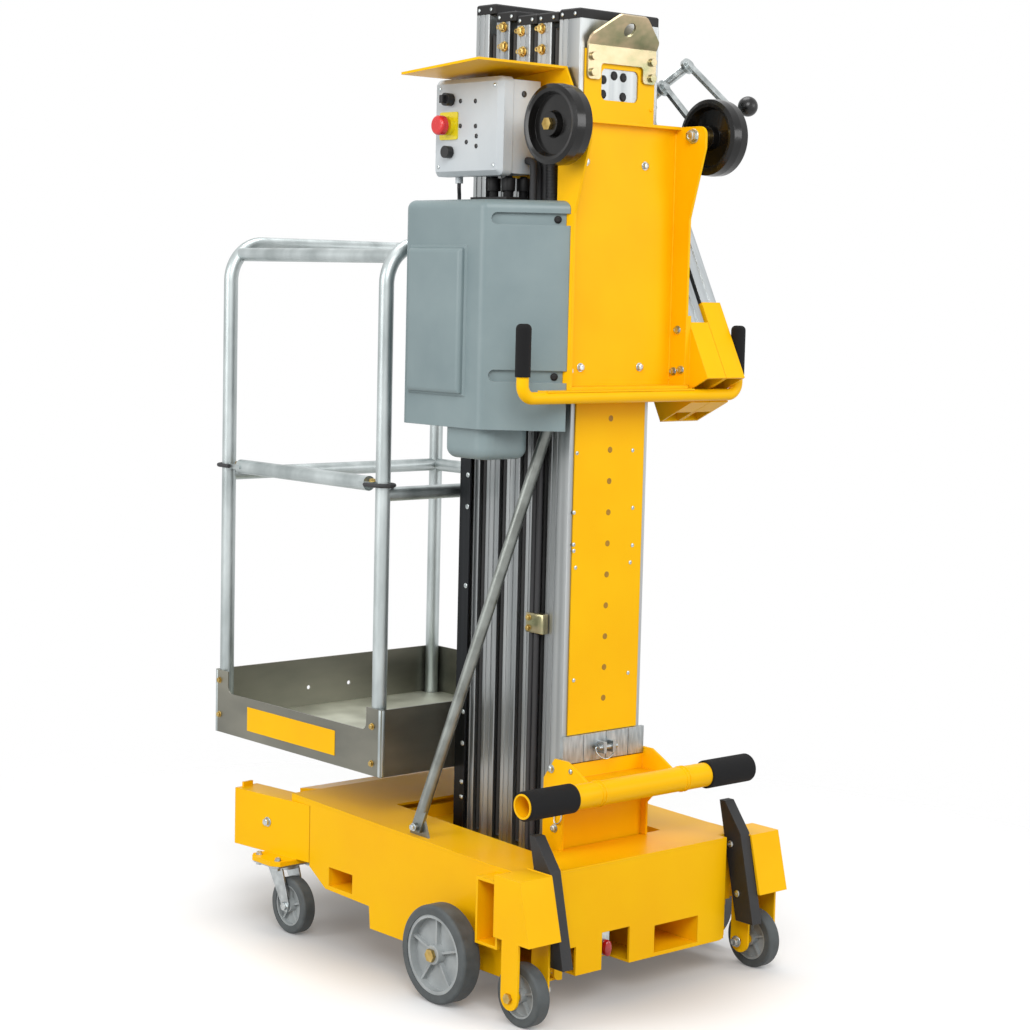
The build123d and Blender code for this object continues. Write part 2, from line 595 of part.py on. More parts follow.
def column_cap(k):
    """Black cap on a column, notched where the next column's tee rises through it."""
    y0 = column_front(k)
    rear = y0 + PITCH - 1.5
    top = COLUMN_TOPS[k]
    cap = block(-CAP_HALF, CAP_HALF, y0 + 1, rear, top, top + CAP_H)
    cap = fillet(cap.edges().filter_by(Axis.Z), 5)
    cap = chamfer(cap.edges().group_by(Axis.Z)[-1], 3)
    cap -= block(-GROOVE_HALF, GROOVE_HALF, y0 - 1, y0 + GROOVE_DEPTH + 1, top - 1, top + CAP_H + 1)
    return cap


def rear_cover():
    """Long cover plate over the back of the fixed column, with its row of holes and window."""
    web = block(-COVER_HALF, COVER_HALF, MAST_REAR, MAST_REAR + COVER_T, COVER_Z0, COVER_Z1)
    z = COVER_Z0 + 70
    while z < FRAME_Z0 - 20:
        web -= rod((0, MAST_REAR - 1, z), (0, MAST_REAR + COVER_T + 1, z), 5)
        z += COVER_HOLE_STEP
    upright = Plane((0, 0, 0), x_dir=(1, 0, 0), z_dir=(0, -1, 0))
    window = upright * (Pos(0, WINDOW_Z) * RectangleRounded(WINDOW_W, WINDOW_H, 12))
    web -= Pos(0, MAST_REAR - 1, 0) * extrude(window, amount=COVER_T + 2, dir=(0, 1, 0))
    return web


def foot_band():
    """Aluminium clamp band across the foot of the fixed column, with its locking pin."""
    band = block(-MAST_HALF - 6, MAST_HALF + 6, MAST_REAR, MAST_REAR + 9, BAND_Z0, BAND_Z1)
    for x in (-70, -6, 58):
        band -= block(x - 1.5, x + 1.5, MAST_REAR + 7, MAST_REAR + 10, BAND_Z0 - 1, BAND_Z1 + 1)
    for x in (-13, 13):
        band += block(x - 4, x + 4, MAST_REAR + 8, MAST_REAR + 28, PIN_Z - 12, PIN_Z + 12)
    band += rod((-26, MAST_REAR + 20, PIN_Z), (26, MAST_REAR + 20, PIN_Z), 5)
    return band


def mast_cradle():
    """Welded cradle round the mast foot, with the arms that carry the lower handle."""
    ear_in = MAST_HALF + 8
    ear = side_prism([(300, WELL_FLOOR_Z), (MAST_REAR + 10, WELL_FLOOR_Z), (MAST_REAR + 10, DECK_REAR_Z),
                      (400, DECK_REAR_Z), (400, 395), (390, 426), (358, 464), (340, CRADLE_TOP), (300, CRADLE_TOP)],
                     ear_in, ear_in + PLATE)
    back = block(-ear_in, ear_in, MAST_REAR, MAST_REAR + PLATE, WELL_FLOOR_Z, BAND_Z0 - 3)
    arm = side_prism([(MAST_REAR + 1, 330), (MAST_REAR + 1, 468), (400, 466), (HANDLE_Y - 6, HANDLE_Z + 22),
                      (HANDLE_Y - 22, HANDLE_Z - 10), (398, 400), (380, 340)], 88, 88 + PLATE)
    shelf = side_prism([(MAST_REAR + 1, 462), (400, 460), (HANDLE_Y - 14, HANDLE_Z + 17),
                        (HANDLE_Y - 14, HANDLE_Z + 22), (400, 466), (MAST_REAR + 1, 468)], -ear_in, ear_in)
    cradle = pair(ear + arm) + back + shelf
    return cradle - rod((-HANDLE_HALF, HANDLE_Y, HANDLE_Z), (HANDLE_HALF, HANDLE_Y, HANDLE_Z), HANDLE_R)


def lower_handle():
    ends = HANDLE_HALF + 2
    bar = rod((-ends, HANDLE_Y, HANDLE_Z), (ends, HANDLE_Y, HANDLE_Z), HANDLE_R)
    return bar - rod((-ends - 1, HANDLE_Y, HANDLE_Z), (ends + 1, HANDLE_Y, HANDLE_Z), HANDLE_R - 4)


def handle_grips():
    """Foam sleeves on the lower handle and rubber grips on the upper one."""
    sleeve = rod((HANDLE_HALF - GRIP_LEN, HANDLE_Y, HANDLE_Z), (HANDLE_HALF, HANDLE_Y, HANDLE_Z), GRIP_R)
    sleeve = fillet(sleeve.edges().filter_by(GeomType.CIRCLE), 3)
    sleeve -= rod((0, HANDLE_Y, HANDLE_Z), (HANDLE_HALF + 1, HANDLE_Y, HANDLE_Z), HANDLE_R)
    grip = rod((PUSH_HALF, PUSH_Y, PUSH_GRIP_Z0), (PUSH_HALF, PUSH_Y, PUSH_GRIP_Z1), PUSH_GRIP_R)
    grip = fillet(grip.edges().group_by(Axis.Z)[-1], 10)
    grip -= rod((PUSH_HALF, PUSH_Y, PUSH_GRIP_Z0 - 1), (PUSH_HALF, PUSH_Y, PUSH_GRIP_Z1 - 12), PUSH_R)
    return pair(sleeve + grip)


def struts():
    """Tubular braces from the deck to the fixed column, with pinched, bolted ends."""
    low = Vector(BASE_HALF - 13, 105, 322)
    high = Vector(MAST_HALF + 4, 290, 1198)
    run = (high - low).normalized()
    strut = rod(low + run * 34, high - run * 34, 12.5)
    for end, way in ((low, run), (high, run * -1)):
        frame = Plane(origin=end, x_dir=(1, 0, 0), z_dir=way)
        strut += frame * Pos(0, 0, 14) * Box(7, 29, 46)
        strut += rod(end - Vector(4, 0, 0), end + Vector(11, 0, 0), 8)
    strut -= block(0, MAST_HALF, 200, 400, 1100, 1300)
    y0, y1 = low.Y - 30, low.Y + 30
    tab = side_prism([(y0, deck_z(y0)), (y1, deck_z(y1)), (low.Y + 14, 342), (low.Y - 14, 342)],
                     low.X - 10, low.X - 4)
    return pair(strut) + pair(tab)


# Frame, eye and handle at the top of the fixed column

def upper_frame():
    """Folded plate on the back of the mast; its flanges flare into the ears of the loading wheels."""
    web = block(-FRAME_HALF, FRAME_HALF, FRAME_Y, FRAME_Y + PLATE, FRAME_Z0, FRAME_Z1)
    corner = [(EAR_REAR_Y - EAR_CORNER * (1 - cos(radians(a))), FRAME_Z1 - EAR_CORNER * (1 - sin(radians(a))))
              for a in range(0, 91, 15)]
    flange = side_prism([(FRAME_Y, FRAME_Z0), (FLANGE_REAR_Y, FRAME_Z0), (FLANGE_REAR_Y, 1600),
                         (EAR_REAR_Y, 1745)] + corner + [(FRAME_Y, FRAME_Z1)], FRAME_HALF - PLATE, FRAME_HALF)
    top = block(-FRAME_HALF, FRAME_HALF, FRAME_Y, FRAME_Y + 22, FRAME_Z1 - PLATE, FRAME_Z1)
    foot = block(-FRAME_HALF, FRAME_HALF, FRAME_Y, PUSH_Y - 8, FRAME_Z0 - PLATE, FRAME_Z0)
    frame = web + pair(flange) + top + foot
    return frame


def push_handle():
    """Bent bar across the frame with a flat strip along its top."""
    bend = 26.0
    points = [(-PUSH_HALF, PUSH_Y, PUSH_GRIP_Z1 - 14), (-PUSH_HALF, PUSH_Y, PUSH_Z - 8),
              (PUSH_HALF, PUSH_Y, PUSH_Z - 8), (PUSH_HALF, PUSH_Y, PUSH_GRIP_Z1 - 14)]
    bar = bent_tube(points, bend, PUSH_R)
    strip_z = PUSH_Z - 8 + PUSH_R
    strip = block(-FRAME_HALF - 3, PUSH_HALF - 60, FLANGE_REAR_Y - 8, PUSH_Y + 9, strip_z - 2, FRAME_Z0 - PLATE)
    return bar + strip


def lifting_eye():
    """Plated eye: two bolted legs, an arch over the window and the round hole at the top."""
    window = EYE_HALF - EYE_LEG
    legs = Polygon((-EYE_HALF, EYE_FOOT_Z), (-window, EYE_FOOT_Z), (-window, EYE_ARCH_Z), (window, EYE_ARCH_Z),
                   (window, EYE_FOOT_Z), (EYE_HALF, EYE_FOOT_Z), (EYE_HALF, EYE_BEND_Z),
                   (-EYE_HALF, EYE_BEND_Z), align=None)
    legs = fillet([v for v in legs.vertices() if v.Y < EYE_BEND_Z - 1], 8)
    upright = Plane((0, FRAME_Y, 0), x_dir=(1, 0, 0), z_dir=(0, -1, 0))
    eye = extrude(upright * legs, amount=-PLATE)
    tip = Polygon((-EYE_HALF, 0), (EYE_HALF, 0), (EYE_HALF, EYE_SHOULDER), (EYE_LEG, EYE_TIP),
                  (-EYE_LEG, EYE_TIP), (-EYE_HALF, EYE_SHOULDER), align=None)
    tip = fillet([v for v in tip.vertices() if v.Y > 1], 15)
    tip -= Pos(0, EYE_HOLE) * Circle(EYE_HOLE_R)
    lean = radians(EYE_LEAN)
    leaning = Plane((0, FRAME_Y, EYE_BEND_Z), x_dir=(1, 0, 0), z_dir=(0, -cos(lean), sin(lean)))
    eye += extrude(leaning * tip, amount=-PLATE)
    for x, z in EYE_BOLTS:
        eye += pair(rod((x, FRAME_Y, z), (x, FRAME_Y + PLATE + 7, z), 8))
    return eye


# Stowed outriggers

def stow_sockets():
    """Two leaning sockets on the right flange, with a strap across each open bottom."""
    sockets = None
    bar_n, bar_t = lean_place(PUSH_Y, PUSH_Z - 8)
    notch_n = bar_n - PUSH_R - SEAT
    notch_t = bar_t + PUSH_R + SADDLE
    for x, socket_top, beam_top, hub, dx, dt, stem in STOWED:
        half = BEAM_W / 2 + STOW_WALL + STOW_FIT
        shell = lean_prism(SOCKET_NEAR, SOCKET_FAR, STOW_BOTTOM_T, socket_top, x - half, x + half)
        shell -= lean_prism(SOCKET_NEAR + STOW_WALL, SOCKET_FAR - STOW_WALL, STOW_BOTTOM_T - 1, socket_top + 1,
                            x - half + STOW_WALL, x + half - STOW_WALL)
        strap_n = (SOCKET_NEAR + SOCKET_FAR) / 2
        shell += lean_prism(strap_n - 34, strap_n + 34, STOW_BOTTOM_T, STOW_BOTTOM_T + STOW_WALL, x - half, x + half)
        shell -= lean_prism(notch_n, SOCKET_FAR + 1, STOW_BOTTOM_T - 1, notch_t, x - half - 1, x + half + 1)
        sockets = shell if sockets is None else sockets + shell
    inner_x = STOWED[0][0] + BEAM_W / 2 + STOW_WALL + STOW_FIT
    gusset = side_prism([(FRAME_Y + 2, FRAME_Z0), (FLANGE_REAR_Y, FRAME_Z0), (FLANGE_REAR_Y, 1400), (FRAME_Y + 2, 1400)],
                        inner_x - 1, -FRAME_HALF)
    return sockets + gusset


def outrigger_beams():
    """Aluminium outrigger legs, closed rectangular section with two grooves on each wide face."""
    beams = None
    n_mid = (SOCKET_NEAR + SOCKET_FAR) / 2
    for x, socket_top, beam_top, hub, dx, dt, stem in STOWED:
        n0 = SOCKET_FAR - STOW_WALL - STOW_FIT - BEAM_D
        n1 = n0 + BEAM_D
        beam = lean_prism(n0, n1, BEAM_T0, beam_top, x - BEAM_W / 2, x + BEAM_W / 2)
        beam -= lean_prism(n0 + 6, n1 - 6, STOW_BOTTOM_T, beam_top + 1, x - BEAM_W / 2 + 5, x + BEAM_W / 2 - 5)
        beam -= lean_prism(n1 - 2, n1 + 1, STOW_BOTTOM_T, beam_top + 1, x - 4, x + 4)
        beams = beam if beams is None else beams + beam
    return beams


def outrigger_jacks():
    """Screw jack across the end of each beam, with its crank arm and ball knob."""
    jacks = None
    for x, socket_top, beam_top, hub, dx, dt, stem in STOWED:
        n1 = SOCKET_FAR - STOW_WALL - STOW_FIT
        t = beam_top + 22.5
        channel = lean_prism(n1 - BEAM_D, n1 + 16, beam_top, beam_top + 45, x - 22, x + 22)
        channel -= lean_prism(n1 - BEAM_D + 6, n1 + 17, beam_top + 6, beam_top + 46, x - 17, x + 17)
        start = lean_point(n1 - BEAM_D + 3, t)
        top = lean_point(hub, t)
        jack = channel + rod((x, *start), (x, *top), 9)
        for n in (n1 + 4, hub - 14):
            low = lean_point(n, t)
            high = lean_point(n + 8, t)
            jack += rod((x, *low), (x, *high), 17)
        arm_end = (x + dx, *lean_point(hub - 6, t + dt))
        arm_start = (x, *lean_point(hub - 6, t))
        run = Vector(arm_end) - Vector(arm_start)
        normal = Vector(0, *lean_point(1, 0))
        frame = Plane(origin=arm_start, x_dir=run, z_dir=normal)
        arm = frame * Pos(run.length / 2, 0, 0) * Box(run.length + 22, CRANK_W, 8)
        jack += arm
        base = (x + dx, *lean_point(hub - 2, t + dt))
        centre = (x + dx, *lean_point(hub + stem, t + dt))
        jack += rod(base, centre, 7) + Pos(*centre) * Sphere(KNOB_R)
        jacks = jack if jacks is None else jacks + jack
    return jacks


# Power unit and controls

def power_cover():
    """Moulded cover: slanting rear face with two channels, raised side panel and tank bulge below."""
    outline = [(POWER_IN, POWER_FRONT_Y), (POWER_OUT, POWER_FRONT_Y), (POWER_OUT, POWER_SIDE_Y),
               (FRAME_HALF + 0.3, POWER_REAR_Y), (FRAME_HALF + 0.3, FRAME_Y), (POWER_IN, FRAME_Y)]
    body = plan_prism(outline, POWER_Z0, POWER_Z1)
    upright = body.edges().filter_by(Axis.Z).filter_by(lambda e: e.center().X > POWER_OUT - 1)
    body = fillet(upright, 22)
    rim = body.edges().group_by(Axis.Z)[-1].filter_by(lambda e: e.center().X > FRAME_HALF + 1)
    body = fillet(rim, 18)
    y0, y1, z0, z1 = POWER_PANEL
    panel = block(POWER_OUT - 1, POWER_OUT + POWER_PANEL_T, y0, y1, z0, z1)
    body += chamfer(panel.edges().group_by(Axis.X)[-1], POWER_PANEL_T - 0.5)
    slope = Vector(POWER_OUT - FRAME_HALF, POWER_SIDE_Y - POWER_REAR_Y, 0).normalized()
    mid = Vector((POWER_OUT + FRAME_HALF) / 2, (POWER_SIDE_Y + POWER_REAR_Y) / 2, 0)
    open_end = 100.0
    for z in CHANNELS:
        frame = Plane(origin=mid + Vector(0, 0, z), x_dir=slope, z_dir=(0, 0, 1))
        run = Pos((CHANNEL_END - open_end) / 2, 0, 0) * Box(CHANNEL_END + open_end, 2 * CHANNEL_DEPTH, CHANNEL_H)
        run += Pos(CHANNEL_END, 0, 0) * Rot(90, 0, 0) * Cylinder(CHANNEL_H / 2, 2 * CHANNEL_DEPTH)
        body -= frame * run
    body -= block(POWER_IN - 1, 150, 258, FRAME_Y + 1, POWER_Z0 - 1, 1240)
    tank = block(150, POWER_OUT - 13, 135, 268, POWER_Z0 - TANK_DROP, POWER_Z0 + 1)
    tank = fillet(tank.edges().filter_by(Axis.Z), 30)
    return body + fillet(tank.edges().group_by(Axis.Z)[0], 22)


def pump_valves():
    """Hydraulic valve block and cylinders between the cover and the control box."""
    block_1 = block(POWER_IN + 2, 230, 150, 262, POWER_Z1, POWER_Z1 + 26)
    for x, y, r in ((160, 185, 15), (196, 185, 15), (160, 232, 12), (196, 232, 12)):
        block_1 += rod((x, y, POWER_Z1 + 25), (x, y, BOX_Z0 - 6), r)
    return block_1


def control_box():
    """Ground control box with a bevelled lid and a pad that fixes it to the back plate."""
    lid_in = BOX_OUT - LID_DEPTH
    body = block(BOX_IN, lid_in, BOX_Y0 + 5, BOX_Y1 - 5, BOX_Z0 + 5, BOX_Z1 - 5)
    lid = block(lid_in, BOX_OUT, BOX_Y0, BOX_Y1, BOX_Z0, BOX_Z1)
    lid = fillet(lid.edges().filter_by(Axis.X), 12)
    lid = chamfer(lid.edges().group_by(Axis.X)[-1], LID_BEVEL)
    pad = block(HOOD_IN + SHEET, BOX_IN, 110, 250, BOX_Z0 + 40, BOX_Z1 - 40)
    gland = rod((GLAND_X, GLAND_Y, BOX_Z0 - GLAND_H), (GLAND_X, GLAND_Y, BOX_Z0 + 1), 8)
    return body + lid + pad + gland


def control_cable():
    """Cable from the gland under the control box to the power unit cover."""
    start_z = BOX_Z0 - GLAND_H
    points = [(GLAND_X, GLAND_Y, start_z), (GLAND_X, GLAND_Y, start_z - 11), (209, 90, POWER_Z1 + 12),
              (209, 90, POWER_Z1)]
    return bent_tube(points, [14, 12], 4)


def hood():
    """Bent rain hood over the control box, hung on the fixed column by its back plate."""
    roof = side_prism([(HOOD_Y0, HOOD_Z - SHEET), (HOOD_Y1, HOOD_Z + HOOD_RISE - SHEET),
                       (HOOD_Y1, HOOD_Z + HOOD_RISE), (HOOD_Y0, HOOD_Z)], HOOD_IN, HOOD_OUT)
    back = side_prism([(HOOD_Y0 + 20, BOX_Z0 + 20), (MAST_REAR - 6, BOX_Z0 - 40), (MAST_REAR - 6, HOOD_Z - 30),
                       (HOOD_Y1, HOOD_Z + HOOD_RISE - 1), (HOOD_Y0 + 20, HOOD_Z - 3)], HOOD_IN, HOOD_IN + SHEET)
    pads = None
    for z in (BOX_Z0, HOOD_Z - 60):
        pad = block(MAST_HALF, HOOD_IN, column_front(0) + 6, column_front(0) + 36, z - 15, z + 15)
        pads = pad if pads is None else pads + pad
    return roof + back + pads


def controls():
    """Key selector and lower knob on the lid."""
    y, z = SELECTOR
    selector = rod((BOX_OUT, y, z), (BOX_OUT + 17, y, z), 13)
    selector += block(BOX_OUT + 16, BOX_OUT + 27, y - 5, y + 5, z - 8, z + 8)
    return selector + rod((BOX_OUT, *KNOB), (BOX_OUT + 15, *KNOB), 12.5)


def stop_button():
    """Emergency stop on its square collar."""
    y, z = STOP
    collar = block(BOX_OUT, BOX_OUT + 3, y - 29, y + 27, z - 28, z + 28)
    collar = fillet(collar.edges().filter_by(Axis.X), 4)
    collar += rod((BOX_OUT + 2, y, z), (BOX_OUT + 12, y, z), 19)
    stem = rod((BOX_OUT + 3, y, z), (BOX_OUT + 21, y, z), 12)
    head = rod((BOX_OUT + 20, y, z), (BOX_OUT + 36, y, z), 20)
    head = fillet(head.edges().group_by(Axis.X)[-1], 6)
    return collar + stem + head


# Platform

def post_corners(room, z0, z1):
    """A block round each foot of the guard rail that reaches the toe boards."""
    corners = None
    for y, edge in ((POST_FRONT_Y, PLAT_FRONT_Y + TOE_T), (POST_REAR_Y, PLAT_REAR_Y - TOE_T)):
        y0, y1 = sorted((edge, y + (room if y == POST_FRONT_Y else -room)))
        corner = pair(block(POST_X - room, PLAT_HALF - TOE_T, y0, y1, z0, z1))
        corners = corner if corners is None else corners + corner
    return corners


def platform_floor():
    """Floor plate on two bearers that reach back to the carriage."""
    floor = block(-PLAT_HALF + TOE_T, PLAT_HALF - TOE_T, PLAT_FRONT_Y + TOE_T, PLAT_REAR_Y - TOE_T,
                  FLOOR_TOP - FLOOR_T, FLOOR_TOP)
    for x in (-220, -75, 75, 220):
        floor += block(x - 20, x + 20, PLAT_FRONT_Y + TOE_T, PLAT_REAR_Y - TOE_T, TOE_Z0 + 1, FLOOR_TOP - FLOOR_T)
        floor -= block(x - 16, x + 16, PLAT_FRONT_Y + TOE_T - 1, PLAT_REAR_Y, TOE_Z0, FLOOR_TOP - FLOOR_T - 3)
    return floor - post_corners(POST_R + 2, TOE_Z0, FLOOR_TOP + 1)


def toe_boards():
    """Four-sided aluminium kick boards; the entry side is cut low between rounded shoulders."""
    tray = block(-PLAT_HALF, PLAT_HALF, PLAT_FRONT_Y, PLAT_REAR_Y, TOE_Z0, TOE_Z1)
    tray = fillet(tray.edges().filter_by(Axis.Z), 4)
    tray -= block(-PLAT_HALF + TOE_T, PLAT_HALF - TOE_T, PLAT_FRONT_Y + TOE_T, PLAT_REAR_Y - TOE_T,
                  TOE_Z0 - 1, TOE_Z1 + 1)
    ear = 52.0
    step = Polygon((PLAT_FRONT_Y + ear, TOE_Z1 + 30), (PLAT_FRONT_Y + ear, TOE_LOW_Z),
                   (PLAT_REAR_Y - ear, TOE_LOW_Z), (PLAT_REAR_Y - ear, TOE_Z1 + 30), align=None)
    step = fillet([v for v in step.vertices() if v.Y < TOE_Z1], 16)
    notch = Pos(PLAT_HALF - 20, 0, 0) * extrude(Plane.YZ * step, amount=40, dir=(1, 0, 0))
    tray -= notch
    for x in (-60, 60):
        tray -= rod((x, PLAT_FRONT_Y - 1, 485), (x, PLAT_FRONT_Y + TOE_T + 1, 485), 5)
    return tray + post_corners(POST_R + 1, TOE_Z0 + 1, POST_FOOT_Z)


def guard_rail():
    """Front and rear hoops joined by side rails at the top and by mid rails on three sides."""
    post_z = POST_FOOT_Z
    rail = None
    for y in (POST_FRONT_Y, POST_REAR_Y):
        hoop = bent_tube([(POST_X, y, post_z), (POST_X, y, RAIL_TOP), (-POST_X, y, RAIL_TOP),
                          (-POST_X, y, post_z)], RAIL_BEND, POST_R)
        hoop += rod((-POST_X, y, RAIL_MID), (POST_X, y, RAIL_MID), POST_R - 1)
        rail = hoop if rail is None else rail + hoop
    drop = RAIL_BEND * (1 - cos(pi / 4))
    for s in (-1, 1):
        x = s * (POST_X - drop)
        rail += rod((x, POST_FRONT_Y, RAIL_TOP - drop), (x, POST_REAR_Y, RAIL_TOP - drop), POST_R - 1)
    rail += rod((-POST_X, POST_FRONT_Y, RAIL_MID), (-POST_X, POST_REAR_Y, RAIL_MID), POST_R - 1)
    return rail


def entry_rail():
    """Sliding mid rail of the entry with flattened ends."""
    z = RAIL_MID + POST_R - 1 + RING_R + 0.3
    y0 = POST_FRONT_Y + 34
    y1 = POST_REAR_Y - 34
    rail = rod((POST_X, y0 + 14, z), (POST_X, y1 - 14, z), POST_R)
    for y in (y0, y1):
        rail += Pos(POST_X, y + (12 if y == y0 else -12), z) * Box(2 * RING_INNER, 44, 2 * RING_R)
    return rail


def rail_rings():
    """Coated rod loops that run on the entry posts and carry the sliding rail."""
    z = RAIL_MID + POST_R - 1 + RING_R + 0.3
    loop_r = RING_INNER + RING_R
    rings = None
    for y, way in ((POST_FRONT_Y, 1), (POST_REAR_Y, -1)):
        flat = y + way * 34
        path = Line((POST_X - loop_r, flat, z), (POST_X - loop_r, y, z))
        path += ThreePointArc((POST_X - loop_r, y, z), (POST_X, y - way * loop_r, z), (POST_X + loop_r, y, z))
        path += Line((POST_X + loop_r, y, z), (POST_X + loop_r, flat, z))
        start = Plane(origin=(POST_X - loop_r, flat, z), z_dir=(0, -way, 0))
        ring = sweep(start * Circle(RING_R), path=path)
        rings = ring if rings is None else rings + ring
    return rings


def carriage():
    """Slide of the platform: tee in the front column's groove, plate behind the toe board and cheeks."""
    y0 = column_front(len(COLUMN_TOPS) - 1)
    tee = block(-GROOVE_HALF + SLIDING + 1, GROOVE_HALF - SLIDING - 1, y0 + LIP + SLIDING,
                y0 + GROOVE_DEPTH - SLIDING, WELL_FLOOR_Z + 8, SLIDE_TOP)
    neck = block(-GROOVE_MOUTH + SLIDING + 1, GROOVE_MOUTH - SLIDING - 1, PLAT_REAR_Y + 1, y0 + LIP + SLIDING + 1,
                 WELL_FLOOR_Z + 8, SLIDE_TOP)
    plate = block(-SLIDE_HALF, SLIDE_HALF, PLAT_REAR_Y, y0 - 3, WELL_FLOOR_Z + 8, SLIDE_TOP)
    cheek = block(SLIDE_HALF - COLUMN_WALL, SLIDE_HALF, y0 - 4, y0 + CHEEK_DEPTH, WELL_FLOOR_Z + 8, SLIDE_TOP)
    return tee + neck + plate + pair(cheek)


def mirrored(piece):
    return mirror(piece, Plane.YZ)


def build():
    nodes = {}
    corner = Pos(CORNER_X, CORNER_Y, SMALL_R)
    swivel = Pos(CASTER_X, CASTER_Y + CASTER_TRAIL, SMALL_R)
    sided = {
        "rear_rim": rear_rim(),
        "rear_tyre": rear_tyre(),
        "corner_rim": corner * small_rim(),
        "corner_tyre": corner * small_tyre(),
        "caster_rim": swivel * small_rim(),
        "caster_tyre": swivel * small_tyre(),
        "caster_fork": caster_fork(),
        "loading_wheel": loading_wheel(),
    }
    for name, piece in sided.items():
        nodes[name + "_left"] = piece
        nodes[name + "_right"] = mirrored(piece)
    for k in range(len(COLUMN_TOPS)):
        nodes["column_" + str(k + 1)] = column(k)
        nodes["column_cap_" + str(k + 1)] = column_cap(k)
    for make in (wheel_axles, caster_plates, base_sides, base_deck, base_pan, rear_socket, front_sockets,
                 caster_brackets, skid_bars, rear_cover, foot_band, mast_cradle, lower_handle,
                 handle_grips, struts, upper_frame, push_handle, lifting_eye, stow_sockets, outrigger_beams,
                 outrigger_jacks, power_cover, pump_valves, control_box, hood,
                 controls, stop_button, control_cable, platform_floor, toe_boards, guard_rail, entry_rail,
                 rail_rings, carriage):
        nodes[make.__name__] = make()
    return nodes


pieces = build()
rear_end = max(piece.bounding_box().max.Y for piece in pieces.values())
front_end = min(piece.bounding_box().min.Y for piece in pieces.values())
middle = (rear_end + front_end) / 2
for name, piece in pieces.items():
    export_step(Pos(0, -middle, 0) * piece, "parts/" + name + ".step")
print("length", round(rear_end - front_end, 2), "moved along Y by", round(-middle, 3), "pieces", len(pieces))
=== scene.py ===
from math import cos, pi, radians, sin

import bpy
from mathutils import Matrix, Vector


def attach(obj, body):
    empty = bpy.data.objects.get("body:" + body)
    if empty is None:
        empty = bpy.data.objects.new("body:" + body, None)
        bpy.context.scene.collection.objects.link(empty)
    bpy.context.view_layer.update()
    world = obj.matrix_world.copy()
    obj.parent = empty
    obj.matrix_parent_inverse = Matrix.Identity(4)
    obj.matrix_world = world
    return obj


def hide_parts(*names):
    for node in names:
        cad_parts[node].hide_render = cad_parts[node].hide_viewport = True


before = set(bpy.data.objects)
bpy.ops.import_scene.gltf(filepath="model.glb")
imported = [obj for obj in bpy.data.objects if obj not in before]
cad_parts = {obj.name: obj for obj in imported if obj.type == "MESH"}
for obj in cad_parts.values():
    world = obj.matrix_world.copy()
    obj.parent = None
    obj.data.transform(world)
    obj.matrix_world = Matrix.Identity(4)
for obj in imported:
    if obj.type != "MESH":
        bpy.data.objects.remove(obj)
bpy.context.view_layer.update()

# Camera and studio: the machine is seen from its rear left corner at chest height,
# on a white floor under soft overhead and side light. The drawing's origin lies a
# little in front of the middle of the machine, so every drawn point is moved back.
SETBACK = 38.75


def at(x, y, z):
    """A drawn point, in millimetres, as a place in the scene."""
    return Vector((x, y + SETBACK, z)) / 1000


CAMERA_PLACE = at(3232.8, 3729.4, 1455.4)
FILM_WIDTH, LENS = 36, 79.165
HEADING, PITCH, ROLL = radians(228.697), radians(5.7943), radians(1.34792)
ahead = Vector((cos(PITCH) * cos(HEADING), cos(PITCH) * sin(HEADING), -sin(PITCH)))
level = ahead.cross(Vector((0, 0, 1))).normalized()
upright = level.cross(ahead)
right = cos(ROLL) * level + sin(ROLL) * upright
above = cos(ROLL) * upright - sin(ROLL) * level
camera = bpy.data.objects.new("camera", bpy.data.cameras.new("camera"))
bpy.context.scene.collection.objects.link(camera)
camera.data.sensor_width = FILM_WIDTH
camera.data.lens = LENS
turn = Matrix((right, above, -ahead)).transposed()
camera.matrix_world = Matrix.Translation(CAMERA_PLACE) @ turn.to_4x4()
bpy.context.scene.camera = camera
bpy.context.scene.view_settings.view_transform = "Standard"


def deselect():
    """Leaves edit mode and selects nothing."""
    if bpy.context.object and bpy.context.object.mode != "OBJECT":
        bpy.ops.object.mode_set(mode="OBJECT")
    bpy.ops.object.select_all(action="DESELECT")


def soft_lamp(name, place, size, power):
    """A round lamp at the place that looks at the middle of the machine."""
    lamp = bpy.data.objects.new(name, bpy.data.lights.new(name, "AREA"))
    lamp.data.shape = "DISK"
    lamp.data.size = size
    lamp.data.energy = power
    lamp.location = place
    lamp.rotation_euler = (LAMP_TARGET - lamp.location).to_track_quat("-Z", "Y").to_euler()
    bpy.context.scene.collection.objects.link(lamp)


LAMP_TARGET = Vector((0, 0, 0.9))
soft_lamp("key_lamp", (3.6, 4.4, 4.4), 3.2, 205)
soft_lamp("side_lamp", (4.6, -0.8, 2.4), 2.6, 84)
soft_lamp("back_lamp", (-2.4, 4.8, 2.6), 2.6, 74)
soft_lamp("top_lamp", (-0.3, -0.6, 5.0), 2.8, 84)


def seen_white(tree, shader_in, strength):
    """White that the camera, reflections and clear parts see, and that lights nothing."""
    path = tree.nodes.new("ShaderNodeLightPath")
    seen = None
    for kind in ("Is Camera Ray", "Is Glossy Ray", "Is Transmission Ray"):
        if seen is None:
            seen = path.outputs[kind]
            continue
        either = tree.nodes.new("ShaderNodeMath")
        either.operation = "MAXIMUM"
        tree.links.new(seen, either.inputs[0])
        tree.links.new(path.outputs[kind], either.inputs[1])
        seen = either.outputs[0]
    glow = tree.nodes.new("ShaderNodeEmission")
    glow.inputs["Strength"].default_value = strength
    chosen = tree.nodes.new("ShaderNodeMixShader")
    tree.links.new(seen, chosen.inputs[0])
    tree.links.new(shader_in, chosen.inputs[1])
    return glow, chosen


